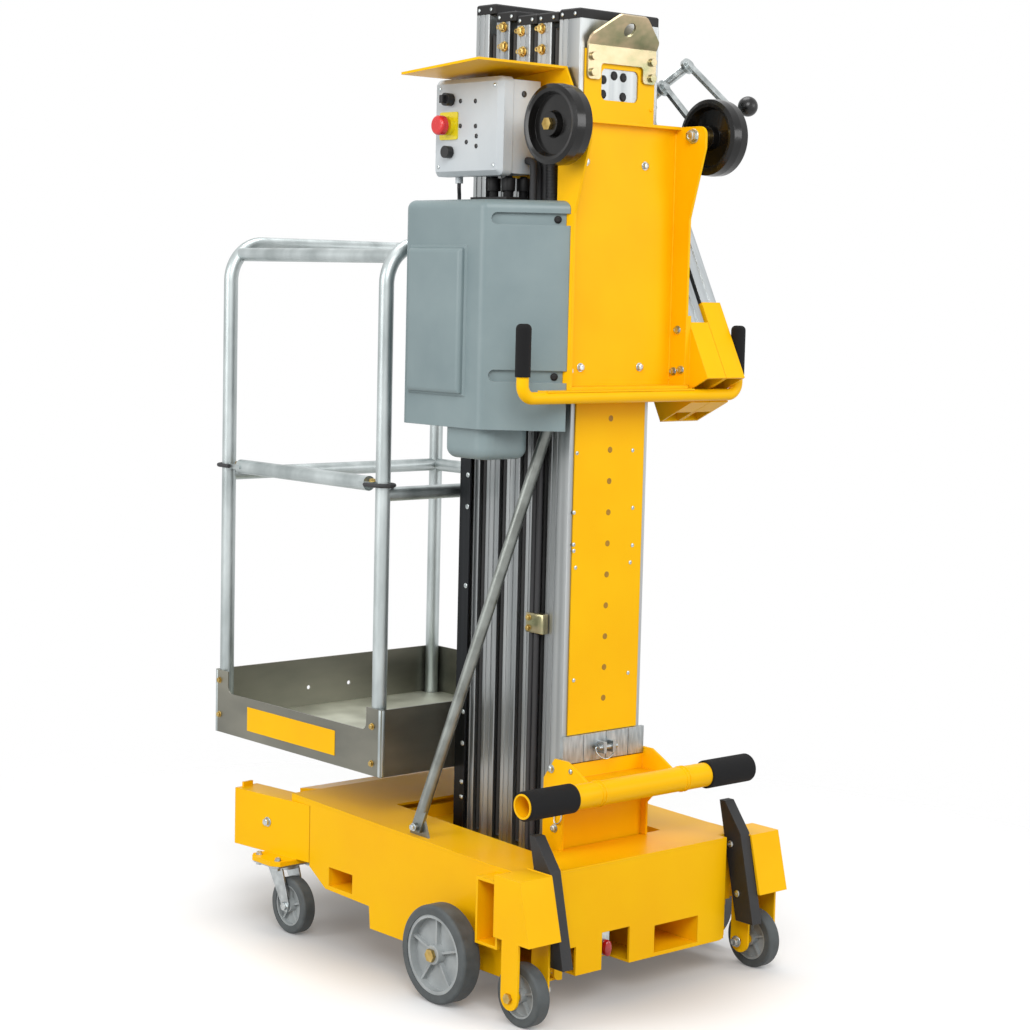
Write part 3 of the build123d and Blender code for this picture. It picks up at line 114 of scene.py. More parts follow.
deselect()
bpy.ops.mesh.primitive_circle_add(vertices=64, radius=4.0, fill_type="NGON",
                                  location=(0, 0, -0.0005))
floor = bpy.context.object
floor.name = "studio_floor"
floor_white = bpy.data.materials.new("floor_white")
floor_white.use_nodes = True
tree = floor_white.node_tree
plain = tree.nodes["Principled BSDF"]
plain.inputs["Roughness"].default_value = 0.9
# painted shadow: the floor's colour is greyer in an ellipse under the machine, where the studio light
# doesn't reach
spot = tree.nodes.new("ShaderNodeTexCoord")
squeeze = tree.nodes.new("ShaderNodeMapping")
squeeze.inputs["Scale"].default_value = (2.6, 1.7, 1)
tree.links.new(spot.outputs["Object"], squeeze.inputs["Vector"])
under = tree.nodes.new("ShaderNodeVectorMath")
under.operation = "LENGTH"
tree.links.new(squeeze.outputs["Vector"], under.inputs[0])
painted_shadow = tree.nodes.new("ShaderNodeMapRange")
painted_shadow.interpolation_type = "SMOOTHSTEP"
painted_shadow.inputs["From Min"].default_value = 0.55
painted_shadow.inputs["From Max"].default_value = 1.45
painted_shadow.inputs["To Min"].default_value = 0.3
painted_shadow.inputs["To Max"].default_value = 0.85
tree.links.new(under.outputs["Value"], painted_shadow.inputs["Value"])
tree.links.new(painted_shadow.outputs["Result"], plain.inputs["Base Color"])
dim = tree.nodes.new("ShaderNodeBsdfDiffuse")
dim.inputs["Color"].default_value = (0.42, 0.42, 0.42, 1)
glow, chosen = seen_white(tree, dim.outputs[0], 0.12)
lit = tree.nodes.new("ShaderNodeAddShader")
tree.links.new(plain.outputs[0], lit.inputs[0])
tree.links.new(glow.outputs[0], lit.inputs[1])
tree.links.new(lit.outputs[0], chosen.inputs[2])
# the floor fades out into the white around it
reach = tree.nodes.new("ShaderNodeVectorMath")
reach.operation = "LENGTH"
tree.links.new(spot.outputs["Object"], reach.inputs[0])
fade = tree.nodes.new("ShaderNodeMapRange")
fade.interpolation_type = "SMOOTHSTEP"
fade.inputs["From Min"].default_value = 0.9
fade.inputs["From Max"].default_value = 2.4
tree.links.new(reach.outputs["Value"], fade.inputs["Value"])
clear = tree.nodes.new("ShaderNodeBsdfTransparent")
faded = tree.nodes.new("ShaderNodeMixShader")
tree.links.new(fade.outputs["Result"], faded.inputs[0])
tree.links.new(chosen.outputs[0], faded.inputs[1])
tree.links.new(clear.outputs[0], faded.inputs[2])
tree.links.new(faded.outputs[0], tree.nodes["Material Output"].inputs["Surface"])
floor.data.materials.append(floor_white)

world = bpy.data.worlds.new("studio")
bpy.context.scene.world = world
world.use_nodes = True
tree = world.node_tree
sky = tree.nodes["Background"]
sky.inputs["Color"].default_value = (1, 1, 1, 1)
sky.inputs["Strength"].default_value = 0.5
glow, chosen = seen_white(tree, sky.outputs[0], 1.0)
tree.links.new(glow.outputs[0], chosen.inputs[2])
tree.links.new(chosen.outputs[0], tree.nodes["World Output"].inputs["Surface"])


# Panel cable: a short rubber lead from the gland under the control box to the top of the
# power unit cover, drawn as a tube through four points that steps sideways between the two.
CABLE_R = 0.004
BOX_BOTTOM, POWER_TOP = 1674.0, 1625.0


def tint(*levels):
    """A colour given as screen levels from 0 to 255."""
    return tuple(((v / 255 + 0.055) / 1.055) ** 2.4 if v > 10 else v / 3294 for v in levels)


def surface(name, dark, light, metal=0.0, rough=(0.35, 0.5), mottle=(9, (1, 1, 1)),
            grain=(600, 0.08), coat=0.0, worn=None, soften=0.0, sheen=0.0, shine=0.5):
    """A finish with a slow mottle in colour and gloss, a fine grain and, where asked,
    softened edges that are rubbed to the worn colour."""
    material = bpy.data.materials.new(name)
    material.use_nodes = True
    nodes, links = material.node_tree.nodes, material.node_tree.links
    shader = nodes["Principled BSDF"]
    shader.inputs["Metallic"].default_value = metal
    shader.inputs["Coat Weight"].default_value = coat
    shader.inputs["Sheen Weight"].default_value = sheen
    shader.inputs["Specular IOR Level"].default_value = shine
    place = nodes.new("ShaderNodeTexCoord")
    stretch = nodes.new("ShaderNodeMapping")
    stretch.inputs["Scale"].default_value = mottle[1]
    links.new(place.outputs["Object"], stretch.inputs["Vector"])
    patch = nodes.new("ShaderNodeTexNoise")
    patch.inputs["Scale"].default_value = mottle[0]
    patch.inputs["Detail"].default_value = 6
    links.new(stretch.outputs["Vector"], patch.inputs["Vector"])
    shade = nodes.new("ShaderNodeValToRGB")
    shade.color_ramp.elements[0].position = 0.3
    shade.color_ramp.elements[0].color = (*dark, 1)
    shade.color_ramp.elements[1].position = 0.7
    shade.color_ramp.elements[1].color = (*light, 1)
    links.new(patch.outputs["Fac"], shade.inputs["Fac"])
    colour = shade.outputs["Color"]
    gloss = nodes.new("ShaderNodeMapRange")
    gloss.inputs["From Min"].default_value = 0.3
    gloss.inputs["From Max"].default_value = 0.7
    gloss.inputs["To Min"].default_value = rough[0]
    gloss.inputs["To Max"].default_value = rough[1]
    links.new(patch.outputs["Fac"], gloss.inputs["Value"])
    links.new(gloss.outputs["Result"], shader.inputs["Roughness"])
    speck = nodes.new("ShaderNodeTexNoise")
    speck.inputs["Scale"].default_value = grain[0]
    speck.inputs["Detail"].default_value = 2
    links.new(stretch.outputs["Vector"], speck.inputs["Vector"])
    bump = nodes.new("ShaderNodeBump")
    bump.inputs["Strength"].default_value = grain[1]
    bump.inputs["Distance"].default_value = 0.001
    links.new(speck.outputs["Fac"], bump.inputs["Height"])
    links.new(bump.outputs["Normal"], shader.inputs["Normal"])
    if soften:
        rounded = nodes.new("ShaderNodeBevel")
        rounded.samples = 4
        rounded.inputs["Radius"].default_value = soften
        links.new(rounded.outputs["Normal"], bump.inputs["Normal"])
        if worn:
            flat = nodes.new("ShaderNodeNewGeometry")
            apart = nodes.new("ShaderNodeVectorMath")
            apart.operation = "DOT_PRODUCT"
            links.new(rounded.outputs["Normal"], apart.inputs[0])
            links.new(flat.outputs["True Normal"], apart.inputs[1])
            rubbed = nodes.new("ShaderNodeMapRange")
            rubbed.inputs["From Min"].default_value = 0.97
            rubbed.inputs["From Max"].default_value = 0.75
            rubbed.inputs["To Max"].default_value = 0.6
            links.new(apart.outputs["Value"], rubbed.inputs["Value"])
            patched = nodes.new("ShaderNodeMath")
            patched.operation = "MULTIPLY"
            links.new(rubbed.outputs["Result"], patched.inputs[0])
            links.new(patch.outputs["Fac"], patched.inputs[1])
            mixed = nodes.new("ShaderNodeMix")
            mixed.data_type = "RGBA"
            links.new(patched.outputs[0], mixed.inputs["Factor"])
            links.new(colour, mixed.inputs["A"])
            mixed.inputs["B"].default_value = (*worn, 1)
            colour = mixed.outputs["Result"]
    links.new(colour, shader.inputs["Base Color"])
    return material


def tube(name, spots, radius, rounds=3, steps=12):
    """A round tube on a smooth line that is led by the spots, as a live curve."""
    line = bpy.data.curves.new(name, "CURVE")
    line.dimensions = "3D"
    path = line.splines.new("NURBS")
    path.points.add(len(spots) - 1)
    for point, spot in zip(path.points, spots):
        point.co = (*spot, 1)
    path.order_u = 3
    path.use_endpoint_u = True
    path.resolution_u = steps
    line.bevel_depth = radius
    line.bevel_resolution = rounds
    line.use_fill_caps = True
    piece = bpy.data.objects.new(name, line)
    bpy.context.scene.collection.objects.link(piece)
    return piece


black_rubber = surface("black_rubber", (0.016, 0.016, 0.018), (0.03, 0.03, 0.032),
                       rough=(0.55, 0.75), grain=(420, 0.25))
panel_cable = tube("panel_cable",
                   [at(222, 104, BOX_BOTTOM - 13), at(222, 104, BOX_BOTTOM - 24),
                    at(209, 90, POWER_TOP + 12), at(209, 90, POWER_TOP)],
                   CABLE_R, rounds=4)
panel_cable.data.materials.append(black_rubber)
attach(panel_cable, "base")
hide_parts("control_cable")

# Base frame: folded and welded steel sheet, powder coated in a warm yellow that is
# rubbed a little along its edges. The side plates, deck, pan, sockets and corner
# brackets are welded into one piece, so bead lines run along the joints.
yellow = surface("yellow_powder_coat", tint(251, 186, 2), tint(255, 196, 6), rough=(0.3, 0.42),
                 mottle=(5, (1, 1, 1)), grain=(420, 0.1), soften=0.0015, shine=0.12,
                 worn=tint(255, 212, 80))


def paint(finish, *names):
    """Gives a finish to pieces of the frame."""
    for name in names:
        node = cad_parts[name]
        node.data.materials.clear()
        node.data.materials.append(finish)


paint(yellow, "base_sides", "base_deck", "base_pan", "rear_socket", "front_sockets",
      "caster_brackets")


def pick(piece, test, kind="FACE"):
    """Enters edit mode with only the faces or edges selected whose middle passes."""
    deselect()
    piece.select_set(True)
    bpy.context.view_layer.objects.active = piece
    mesh = piece.data
    for part in (mesh.vertices, mesh.edges, mesh.polygons):
        for item in part:
            item.select = False
    if kind == "FACE":
        for face in mesh.polygons:
            face.select = test(face.center, face.normal)
    else:
        for edge in mesh.edges:
            ends = [mesh.vertices[v].co for v in edge.vertices]
            edge.select = test(ends[0], ends[1])
    bpy.ops.object.mode_set(mode="EDIT")
    bpy.ops.mesh.select_mode(type=kind)


def settle(piece, name, finish, body, smooth=None):
    """Applies what is live on the piece and its place, and puts it on its body."""
    deselect()
    piece.select_set(True)
    bpy.context.view_layer.objects.active = piece
    for modifier in list(piece.modifiers):
        bpy.ops.object.modifier_apply(modifier=modifier.name)
    bpy.ops.object.transform_apply(location=True, rotation=True, scale=True)
    if smooth:
        bpy.ops.object.shade_smooth_by_angle(angle=radians(smooth))
    piece.name = name
    piece.data.name = name
    piece.data.materials.clear()
    piece.data.materials.append(finish)
    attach(piece, body)
    return piece


def bevelled(piece, width, segments=2, angle=30):
    """Rounds the edges that are sharper than the angle."""
    round_off = piece.modifiers.new("edges", "BEVEL")
    round_off.width = width
    round_off.segments = segments
    round_off.limit_method = "ANGLE"
    round_off.angle_limit = radians(angle)
    deselect()
    piece.select_set(True)
    bpy.context.view_layer.objects.active = piece
    bpy.ops.object.modifier_apply(modifier=round_off.name)


def block(centre, size):
    """A box that is then shaped, with its size in metres."""
    deselect()
    bpy.ops.mesh.primitive_cube_add(size=1, location=centre)
    piece = bpy.context.object
    piece.scale = size
    bpy.ops.object.transform_apply(location=False, rotation=False, scale=True)
    return piece


def join(pieces):
    """One object of several, with its origin at the scene's."""
    deselect()
    for piece in pieces:
        piece.select_set(True)
    bpy.context.view_layer.objects.active = pieces[0]
    bpy.ops.object.transform_apply(location=True, rotation=True, scale=True)
    if len(pieces) > 1:
        bpy.ops.object.join()
    return bpy.context.object


def hex_bolt(radius, height, washer):
    """A hexagon head on its washer, standing up from the origin."""
    deselect()
    bpy.ops.mesh.primitive_cylinder_add(vertices=6, radius=radius, depth=height,
                                        location=(0, 0, washer + height / 2))
    head = bpy.context.object
    pick(head, lambda middle, normal: normal.z > 0.9)
    bpy.ops.mesh.inset(thickness=radius * 0.14, depth=height * 0.12)
    bpy.ops.mesh.inset(thickness=radius * 0.3, depth=0)
    bpy.ops.mesh.inset(thickness=radius * 0.08, depth=-height * 0.12)
    deselect()
    bpy.ops.mesh.primitive_cylinder_add(vertices=20, radius=radius * 1.3, depth=washer,
                                        location=(0, 0, washer / 2))
    ring = bpy.context.object
    bevelled(ring, washer * 0.25, 1)
    return join([head, ring])


def stand(piece, place, way):
    """Puts a piece at the place, with its own Z along the way."""
    turn = Vector(way).to_track_quat("Z", "Y").to_matrix().to_4x4()
    piece.matrix_world = Matrix.Translation(place) @ turn


def copied(model, place, way):
    """A copy of a modelled piece, stood at the place along the way."""
    copy = model.copy()
    copy.data = model.data.copy()
    bpy.context.scene.collection.objects.link(copy)
    stand(copy, place, way)
    return copy


def fasteners(name, model, spots, finish, body):
    """Copies of one modelled fastener, each turned to stand out along its direction."""
    copies = [copied(model, place, way) for place, way in spots]
    return settle(join(copies), name, finish, body, smooth=35)


def ringed_rod(start, end, radius, sides, cuts, swells):
    """A rod between two points, its even and odd rings scaled by the two swells."""
    deselect()
    length = (end - start).length
    bpy.ops.mesh.primitive_cylinder_add(vertices=sides, radius=radius, depth=length)
    rod = bpy.context.object
    pick(rod, lambda a, b: abs(a.z - b.z) > length * 0.9, "EDGE")
    bpy.ops.mesh.subdivide(number_cuts=cuts)
    deselect()
    for vertex in rod.data.vertices:
        swell = swells[round((vertex.co.z + length / 2) / length * (cuts + 1)) % 2]
        vertex.co.x *= swell
        vertex.co.y *= swell
    stand(rod, (start + end) / 2, end - start)
    return rod


RIPPLE = 1.1     # length of a weld's ripple, in radii of the bead


def weld_bead(name, runs, radius, body):
    """Raised bead with its ripples along each run between two points."""
    beads = []
    for start, end in runs:
        ripples = max(2, int((end - start).length / radius / RIPPLE))
        beads.append(ringed_rod(start, end, radius, 8, ripples, (0.8, 1.0)))
    return settle(join(beads), name, yellow, body, smooth=50)


def both_sides(spots):
    """The spots and their mirror images on the other side."""
    mirrored = [(Vector((-p.x, p.y, p.z)), Vector((-w[0], w[1], w[2]))) for p, w in spots]
    return [(p, Vector(w)) for p, w in spots] + mirrored


zinc = surface("zinc_plate", tint(160, 166, 166), tint(206, 212, 212), metal=1.0, rough=(0.25, 0.4),
               mottle=(60, (1, 1, 1)), grain=(900, 0.05))


def row(body, slot, finish, model, **groups):
    """One piece of fasteners for each named group of places, then puts the model away."""
    for name, spots in groups.items():
        fasteners(name, model, spots, finish, body)
    bpy.data.objects.remove(model)


FLANGE_Y = 455.0     # rear face of the corner brackets' flanges
row("base", "zinc_plated", zinc, hex_bolt(0.0065, 0.005, 0.0015),
    bracket_bolts=both_sides([(at(260, FLANGE_Y, z), (0, 1, 0)) for z in (200, 270)]),
    caster_plate_nuts=both_sides([(at(358, y, 169), (0, 0, 1)) for y in (-386, -314)]),
    strut_foot_bolts=both_sides([(at(311, 105, 322), (1, 0, 0))]))
row("base", "zinc_plated", zinc, hex_bolt(0.0095, 0.008, 0.002),
    corner_wheel_nuts=both_sides([(at(278, 487, 63.5), (-1, 0, 0))]))
row("base", "zinc_plated", zinc, hex_bolt(0.0085, 0.007, 0.002),
    socket_bolts=both_sides([(at(329.8, -395, 238), (0.9925, 0.1219, 0))]))

# tail lamp: an oval red lens on a small folded bracket in the notch of the rear panel
LAMP_X = 96.0
deselect()
bpy.ops.mesh.primitive_cylinder_add(vertices=32, radius=0.5, depth=0.010,
                                    location=at(LAMP_X, 474, 113), rotation=(pi / 2, 0, 0))
tail_lens = bpy.context.object
tail_lens.scale = (0.020, 0.034, 1)
bpy.ops.object.transform_apply(location=False, rotation=False, scale=True)
pick(tail_lens, lambda middle, normal: normal.z < -0.9)
bpy.ops.mesh.inset(thickness=0.002, depth=0.0025)
bpy.ops.mesh.inset(thickness=0.003, depth=0.0015)
lens_red = surface("lens_red", tint(150, 14, 16), tint(186, 22, 24), rough=(0.12, 0.2),
                   mottle=(60, (1, 1, 1)), grain=(300, 0.03), coat=0.5)
settle(tail_lens, "tail_lens", lens_red, "base", smooth=40)
lamp_bracket = block(at(LAMP_X, 467, 126), (0.026, 0.0025, 0.058))
bevelled(lamp_bracket, 0.001)
settle(lamp_bracket, "lamp_bracket", zinc, "base")

weld_runs = []
for side in (-1, 1):
    weld_runs += [
        (at(side * 286, 438, 299), at(side * 286, 508, 299)),
        (at(side * 246, 450.5, 292), at(side * 285, 450.5, 292)),
        (at(side * 312, 436, 180), at(side * 312, 436, 290)),
    ]
weld_bead("base_welds", weld_runs, 0.0028, "base")

# Skid bars: thick black rubber-faced bars bolted to the inner side of each corner
# bracket, on which the machine slides when it is laid back on a truck bed.
skid_black = surface("skid_rubber", tint(14, 14, 15), tint(28, 28, 29), rough=(0.5, 0.7),
                     mottle=(14, (1, 1, 1)), grain=(240, 0.35), soften=0.003, worn=tint(92, 92, 92))
paint(skid_black, "skid_bars")


def dome_screw(radius, height):
    """A low domed screw head with a cross recess."""
    deselect()
    bpy.ops.mesh.primitive_cylinder_add(vertices=16, radius=radius, depth=height,
                                        location=(0, 0, height / 2))
    head = bpy.context.object
    pick(head, lambda middle, normal: normal.z > 0.9)
    bpy.ops.mesh.inset(thickness=radius * 0.25, depth=height * 0.35)
    bpy.ops.mesh.inset(thickness=radius * 0.4, depth=height * 0.1)
    bpy.ops.mesh.inset(thickness=radius * 0.08, depth=-height * 0.5)
    deselect()
    return head


row("base", "zinc_plated", zinc, dome_screw(0.0075, 0.0035),
    skid_bolts=both_sides([(at(259, y, z), (-1, 0, 0)) for y, z in ((478, 278), (502, 175))]))

# Rear and corner wheels: grey non-marking tyres moulded on ribbed light grey plastic
# centres, held by plated bolts through the side plates and the bracket legs.
tyre_grey = surface("tyre_rubber", tint(60, 65, 66), tint(84, 89, 90), rough=(0.55, 0.72),
                    mottle=(30, (1, 1, 1)), grain=(300, 0.3), sheen=0.05)
rim_grey = surface("rim_plastic", tint(146, 151, 152), tint(172, 177, 177), rough=(0.4, 0.52),
                   mottle=(24, (1, 1, 1)), grain=(500, 0.12), soften=0.0008, worn=tint(225, 228, 228))
for side in ("_left", "_right"):
    paint(tyre_grey, *(kind + "_tyre" + side for kind in ("rear", "corner", "caster")))
    paint(rim_grey, *(kind + "_rim" + side for kind in ("rear", "corner", "caster")))
gold = surface("gold_chromate", tint(150, 122, 64), tint(212, 186, 118), metal=1.0, rough=(0.28, 0.42),
               mottle=(45, (1, 1, 1)), grain=(900, 0.05))
paint(gold, "wheel_axles")

# Front casters: zinc plated pressed forks that turn on ball races, under plates that
# are bolted to the flared front sockets.
caster_zinc = surface("caster_zinc", tint(150, 155, 156), tint(198, 203, 204), metal=1.0,
                      rough=(0.28, 0.45), mottle=(34, (1, 1, 1)), grain=(700, 0.1),
                      soften=0.001, worn=tint(230, 232, 232))
paint(caster_zinc, "caster_fork_left", "caster_fork_right", "caster_plates")

# Mast cradle and lower handle: a welded yellow cradle grips the foot of the mast and
# carries the lifting bar with its two black foam sleeves.
paint(yellow, "mast_cradle", "lower_handle")


def cut_plate(outline, x, thickness):
    """A bevelled plate cut to an outline of depths and heights, with its first face at x."""
    deselect()
    bpy.ops.mesh.primitive_circle_add(vertices=len(outline), fill_type="NGON")
    plate = bpy.context.object
    for vertex, (y, z) in zip(plate.data.vertices, outline):
        vertex.co = at(x, y, z)
    pick(plate, lambda middle, normal: True)
    bpy.ops.mesh.extrude_region_move(TRANSFORM_OT_translate={"value": (thickness / 1000, 0, 0)})
    bpy.ops.mesh.select_all(action="SELECT")
    bpy.ops.mesh.normals_make_consistent(inside=False)
    deselect()
    bevelled(plate, 0.0008)
    return plate


# two ears reach from the mast to the bar, with a back plate and a shelf between them
EAR_IN, EAR_T = 118, 6
EAR_OUT = EAR_IN + EAR_T
BAR_Y, BAR_Z = 459, 434
ear = [(300, 265), (349, 265), (349, 295), (361, 295), (361, 366), (392, 398), (440, 417),
       (434.5, 428), (434.5, 440), (438, 449), (404, 468), (372, 484), (332, 484), (300, 440)]
back_plate = [(340, 265), (346, 265), (346, 470), (340, 470)]
shelf = [(346, 434), (433, 428), (433, 434), (346, 440)]
mast_cradle = join([cut_plate(ear, EAR_IN, EAR_T), cut_plate(ear, -EAR_IN, -EAR_T),
                    cut_plate(back_plate, -EAR_IN, 2 * EAR_IN),
                    cut_plate(shelf, -EAR_IN, 2 * EAR_IN)])
settle(mast_cradle, "cradle_plates", yellow, "base", smooth=40)
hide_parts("mast_cradle")

foam = surface("grip_foam", tint(16, 16, 17), tint(28, 28, 29), rough=(0.8, 0.95),
               mottle=(40, (1, 1, 1)), grain=(1500, 0.5), shine=0.25)
paint(foam, "handle_grips")
cast_aluminium = surface("bare_aluminium", tint(150, 156, 158), tint(188, 194, 196), metal=1.0,
                         rough=(0.35, 0.5), mottle=(30, (6, 1, 1)), grain=(500, 0.12),
                         soften=0.0008, worn=tint(235, 235, 235))
paint(cast_aluminium, "foot_band")
row("base", "zinc_plated", zinc, hex_bolt(0.007, 0.005, 0.0015),
    cradle_bolts=both_sides([(at(EAR_OUT, y, z), (1, 0, 0)) for y, z in ((324, 462), (338, 339))]))
row("base", "zinc_plated", zinc, dome_screw(0.0055, 0.003),
    cradle_rivets=both_sides([(at(EAR_OUT, 383, 466), (1, 0, 0))]))


RIB_DEPTH = 0.16     # in radii of the hose


def hose(name, spots, radius, finish, body, ribs=0.0):
    """A round hose through the spots, ribbed where it is a corrugated one."""
    piece = tube(name, spots, radius, steps=60 if ribs else 12)
    deselect()
    piece.select_set(True)
    bpy.context.view_layer.objects.active = piece
    bpy.ops.object.convert(target="MESH")
    piece = bpy.context.object
    bpy.ops.object.mode_set(mode="EDIT")
    bpy.ops.mesh.select_all(action="SELECT")
    bpy.ops.mesh.remove_doubles(threshold=0.00002)
    bpy.ops.mesh.normals_make_consistent(inside=False)
    deselect()
    if ribs:
        start = Vector(spots[0])
        for vertex in piece.data.vertices:
            if int((vertex.co - start).length / ribs) % 2:
                outward = vertex.normal * radius * RIB_DEPTH
                vertex.co -= Vector((outward.x, outward.y, 0))
    return settle(piece, name, finish, body, smooth=50)


hose("cradle_ring", [at(126, 340, 368), at(128, 338, 352), at(129, 352, 350), at(128, 362, 360),
                     at(126, 360, 372)], 0.0015, zinc, "base")

# welds run round the bar on both faces of each ear, every other ring drawn in
collars = []
for x in (-125.5, -116.5, 116.5, 125.5):
    deselect()
    bpy.ops.mesh.primitive_torus_add(major_segments=40, minor_segments=8, major_radius=0.0258,
                                     minor_radius=0.0018, location=at(x, BAR_Y, BAR_Z),
                                     rotation=(0, pi / 2, 0))
    collar = bpy.context.object
    for vertex in collar.data.vertices:
        if vertex.index // 8 % 2:
            vertex.co *= 0.99
    collars.append(collar)
settle(join(collars), "handle_welds", yellow, "base", smooth=50)
hose("band_pin_clip", [at(26, 360, 500), at(34, 360, 506), at(34, 362, 490), at(22, 372, 478),
                       at(6, 374, 478), at(-10, 368, 486)], 0.0014, zinc, "base")

# Mast: five extruded aluminium columns that slide in each other's grooves, with faint
# draw lines along their length and black strips between them as painted shade, under black caps.
mast_metal = surface("mast_extrusion", tint(132, 136, 137), tint(180, 183, 183), metal=1.0,
                     rough=(0.3, 0.46), mottle=(42, (1, 1, 0.012)), grain=(900, 0.1),
                     soften=0.0008, worn=tint(232, 232, 232))
paint(mast_metal, *("column_" + str(k) for k in range(1, 6)))
cap_black = surface("cap_plastic", tint(13, 13, 14), tint(24, 24, 25), rough=(0.45, 0.6),
                    mottle=(20, (1, 1, 1)), grain=(500, 0.2), soften=0.0012, shine=0.3,
                    worn=tint(58, 58, 58))
paint(cap_black, *("column_cap_" + str(k) for k in range(1, 6)))

# Black strips fill the necks between the columns as painted shade for the shadowed gaps.
# Each rides with the column in front of it, and its small ribs show in the gap.
gap_shade_black = surface("gap_shade_strip", tint(16, 16, 17), tint(30, 30, 31), rough=(0.5, 0.65),
                      mottle=(20, (1, 1, 0.1)), grain=(500, 0.2))
COLUMN_DEPTH, COLUMN_PITCH, MAST_REAR = 42.0, 65.0, 340.0
COLUMN_TOPS = (1991, 1988, 1988, 1999, 2018)
for k in range(1, 5):
    gap_front = MAST_REAR - (k + 1) * COLUMN_PITCH + COLUMN_DEPTH
    shade_strips = []
    for side in (-1, 1):
        shade_strip = block(at(side * 93, gap_front + 11, 1128), (0.015, 0.019, 1.70))
        pick(shade_strip, lambda middle, normal: abs(normal.x) > 0.9)
        bpy.ops.mesh.inset(thickness=0.003, depth=0)
        bpy.ops.mesh.inset(thickness=0.0015, depth=-0.002)
        deselect()
        bevelled(shade_strip, 0.0012, 1)
        shade_strips.append(shade_strip)
    settle(join(shade_strips), "gap_shade_strips_" + str(k + 1), gap_shade_black, "stage_" + str(k + 1))

# Chain anchors: plated studs with nuts and split pins near the tops of the columns, on
# both sides, and small screws that hold the caps.
PIN_X = 117.5        # the split pins pass through the studs, outside the nuts
anchors = {2: ((223, 1977), (225, 1935)), 3: ((160, 1976), (166, 1934)),
           4: ((103, 1988), (107, 1948))}
for k, spots in anchors.items():
    row("stage_" + str(k), "chromate_plated", gold, hex_bolt(0.0085, 0.006, 0.002),
        **{"anchor_nuts_" + str(k): both_sides([(at(110, y, z), (1, 0, 0)) for y, z in spots])})
    deselect()
    pins = []
    for side in (-1, 1):
        for y, z in spots:
            for tail in (-1, 1):
                bpy.ops.mesh.primitive_cylinder_add(vertices=8, radius=0.0012, depth=0.021,
                                                    location=at(side * PIN_X, y + 3, z + tail * 3.5),
                                                    rotation=(pi / 2 + tail * 0.5, 0, 0))
                pin = bpy.context.object
                bevelled(pin, 0.0004, 1)
                pins.append(pin)
            deselect()
            bpy.ops.mesh.primitive_torus_add(major_segments=14, minor_segments=6, major_radius=0.0036,
                                             minor_radius=0.0012, location=at(side * PIN_X, y - 9, z),
                                             rotation=(0, pi / 2, 0))
            pins.append(bpy.context.object)
    settle(join(pins), "split_pins_" + str(k), gold, "stage_" + str(k), smooth=50)
for k, top in enumerate(COLUMN_TOPS):
    middle_y = MAST_REAR - (k + 1) * COLUMN_PITCH
    row("stage_" + str(k + 1) if k else "base", "zinc_plated", zinc, dome_screw(0.0038, 0.002),
        **{"cap_screws_" + str(k + 1): both_sides([(at(112, middle_y + dy, top + 9), (1, 0, 0))
                                                   for dy in (12, 50)])})

# Lift hoses: two black hydraulic hoses run down the side of the mast from the valve
# block to the base, held by a plated clamp with two bolts.
chromate = surface("yellow_chromate", tint(134, 140, 104), tint(206, 182, 150), metal=1.0,
                   rough=(0.26, 0.42), mottle=(16, (1, 1, 1.6)), grain=(900, 0.06),
                   soften=0.001, worn=tint(238, 232, 205))
HOSE_X = 118
for name, y in (("lift_hose_front", 246), ("lift_hose_rear", 261)):
    hose(name, [at(132, y - 3, 1629), at(119, y - 2, 1626), at(HOSE_X, y, 1590), at(HOSE_X, y, 900),
                at(HOSE_X, y, 600), at(HOSE_X, y, 330), at(HOSE_X, y + 4, 264)],
         0.0062, black_rubber, "base")
hose_clamp = block(at(118.5, 262, 758), (0.016, 0.054, 0.042))
pick(hose_clamp, lambda middle, normal: normal.x > 0.9)
bpy.ops.mesh.inset(thickness=0.006, depth=0.0015)
deselect()
bevelled(hose_clamp, 0.002)
settle(hose_clamp, "hose_clamp", chromate, "base", smooth=40)
row("base", "chromate_plated", gold, hex_bolt(0.0055, 0.004, 0.0012),
    hose_clamp_bolts=[(at(127.8, 246, z), (1, 0, 0)) for z in (747, 769)])

# Platform slide: dark anodised plate and cheeks that hold the platform on the front
# column. The cheeks are fixed by low screws, and the control lead of the
# platform hangs down its front with a loop at the top.
dark_anodised = surface("dark_anodised", tint(30, 31, 33), tint(52, 54, 56), metal=1.0,
                        rough=(0.34, 0.48), mottle=(30, (1, 1, 0.03)), grain=(900, 0.08),
                        soften=0.0008, worn=tint(120, 122, 124))
paint(dark_anodised, "carriage")
row("platform", "zinc_plated", zinc, dome_screw(0.0055, 0.0022),
    slide_screws=both_sides([(at(121, 33, z), (1, 0, 0))
                             for z in (348, 381, 466, 535, 810, 981, 1049)]))
hose("slide_lead", [at(96, -2, 443), at(96, -2, 500), at(96, -2, 566), at(97, 2, 640), at(99, 2, 900),
                    at(100, 2, 1060), at(101, 0, 1150), at(80, -5, 1190), at(60, -2, 1150),
                    at(59, 3, 1090), at(59, 9, 1066)], 0.0052, black_rubber, "platform")

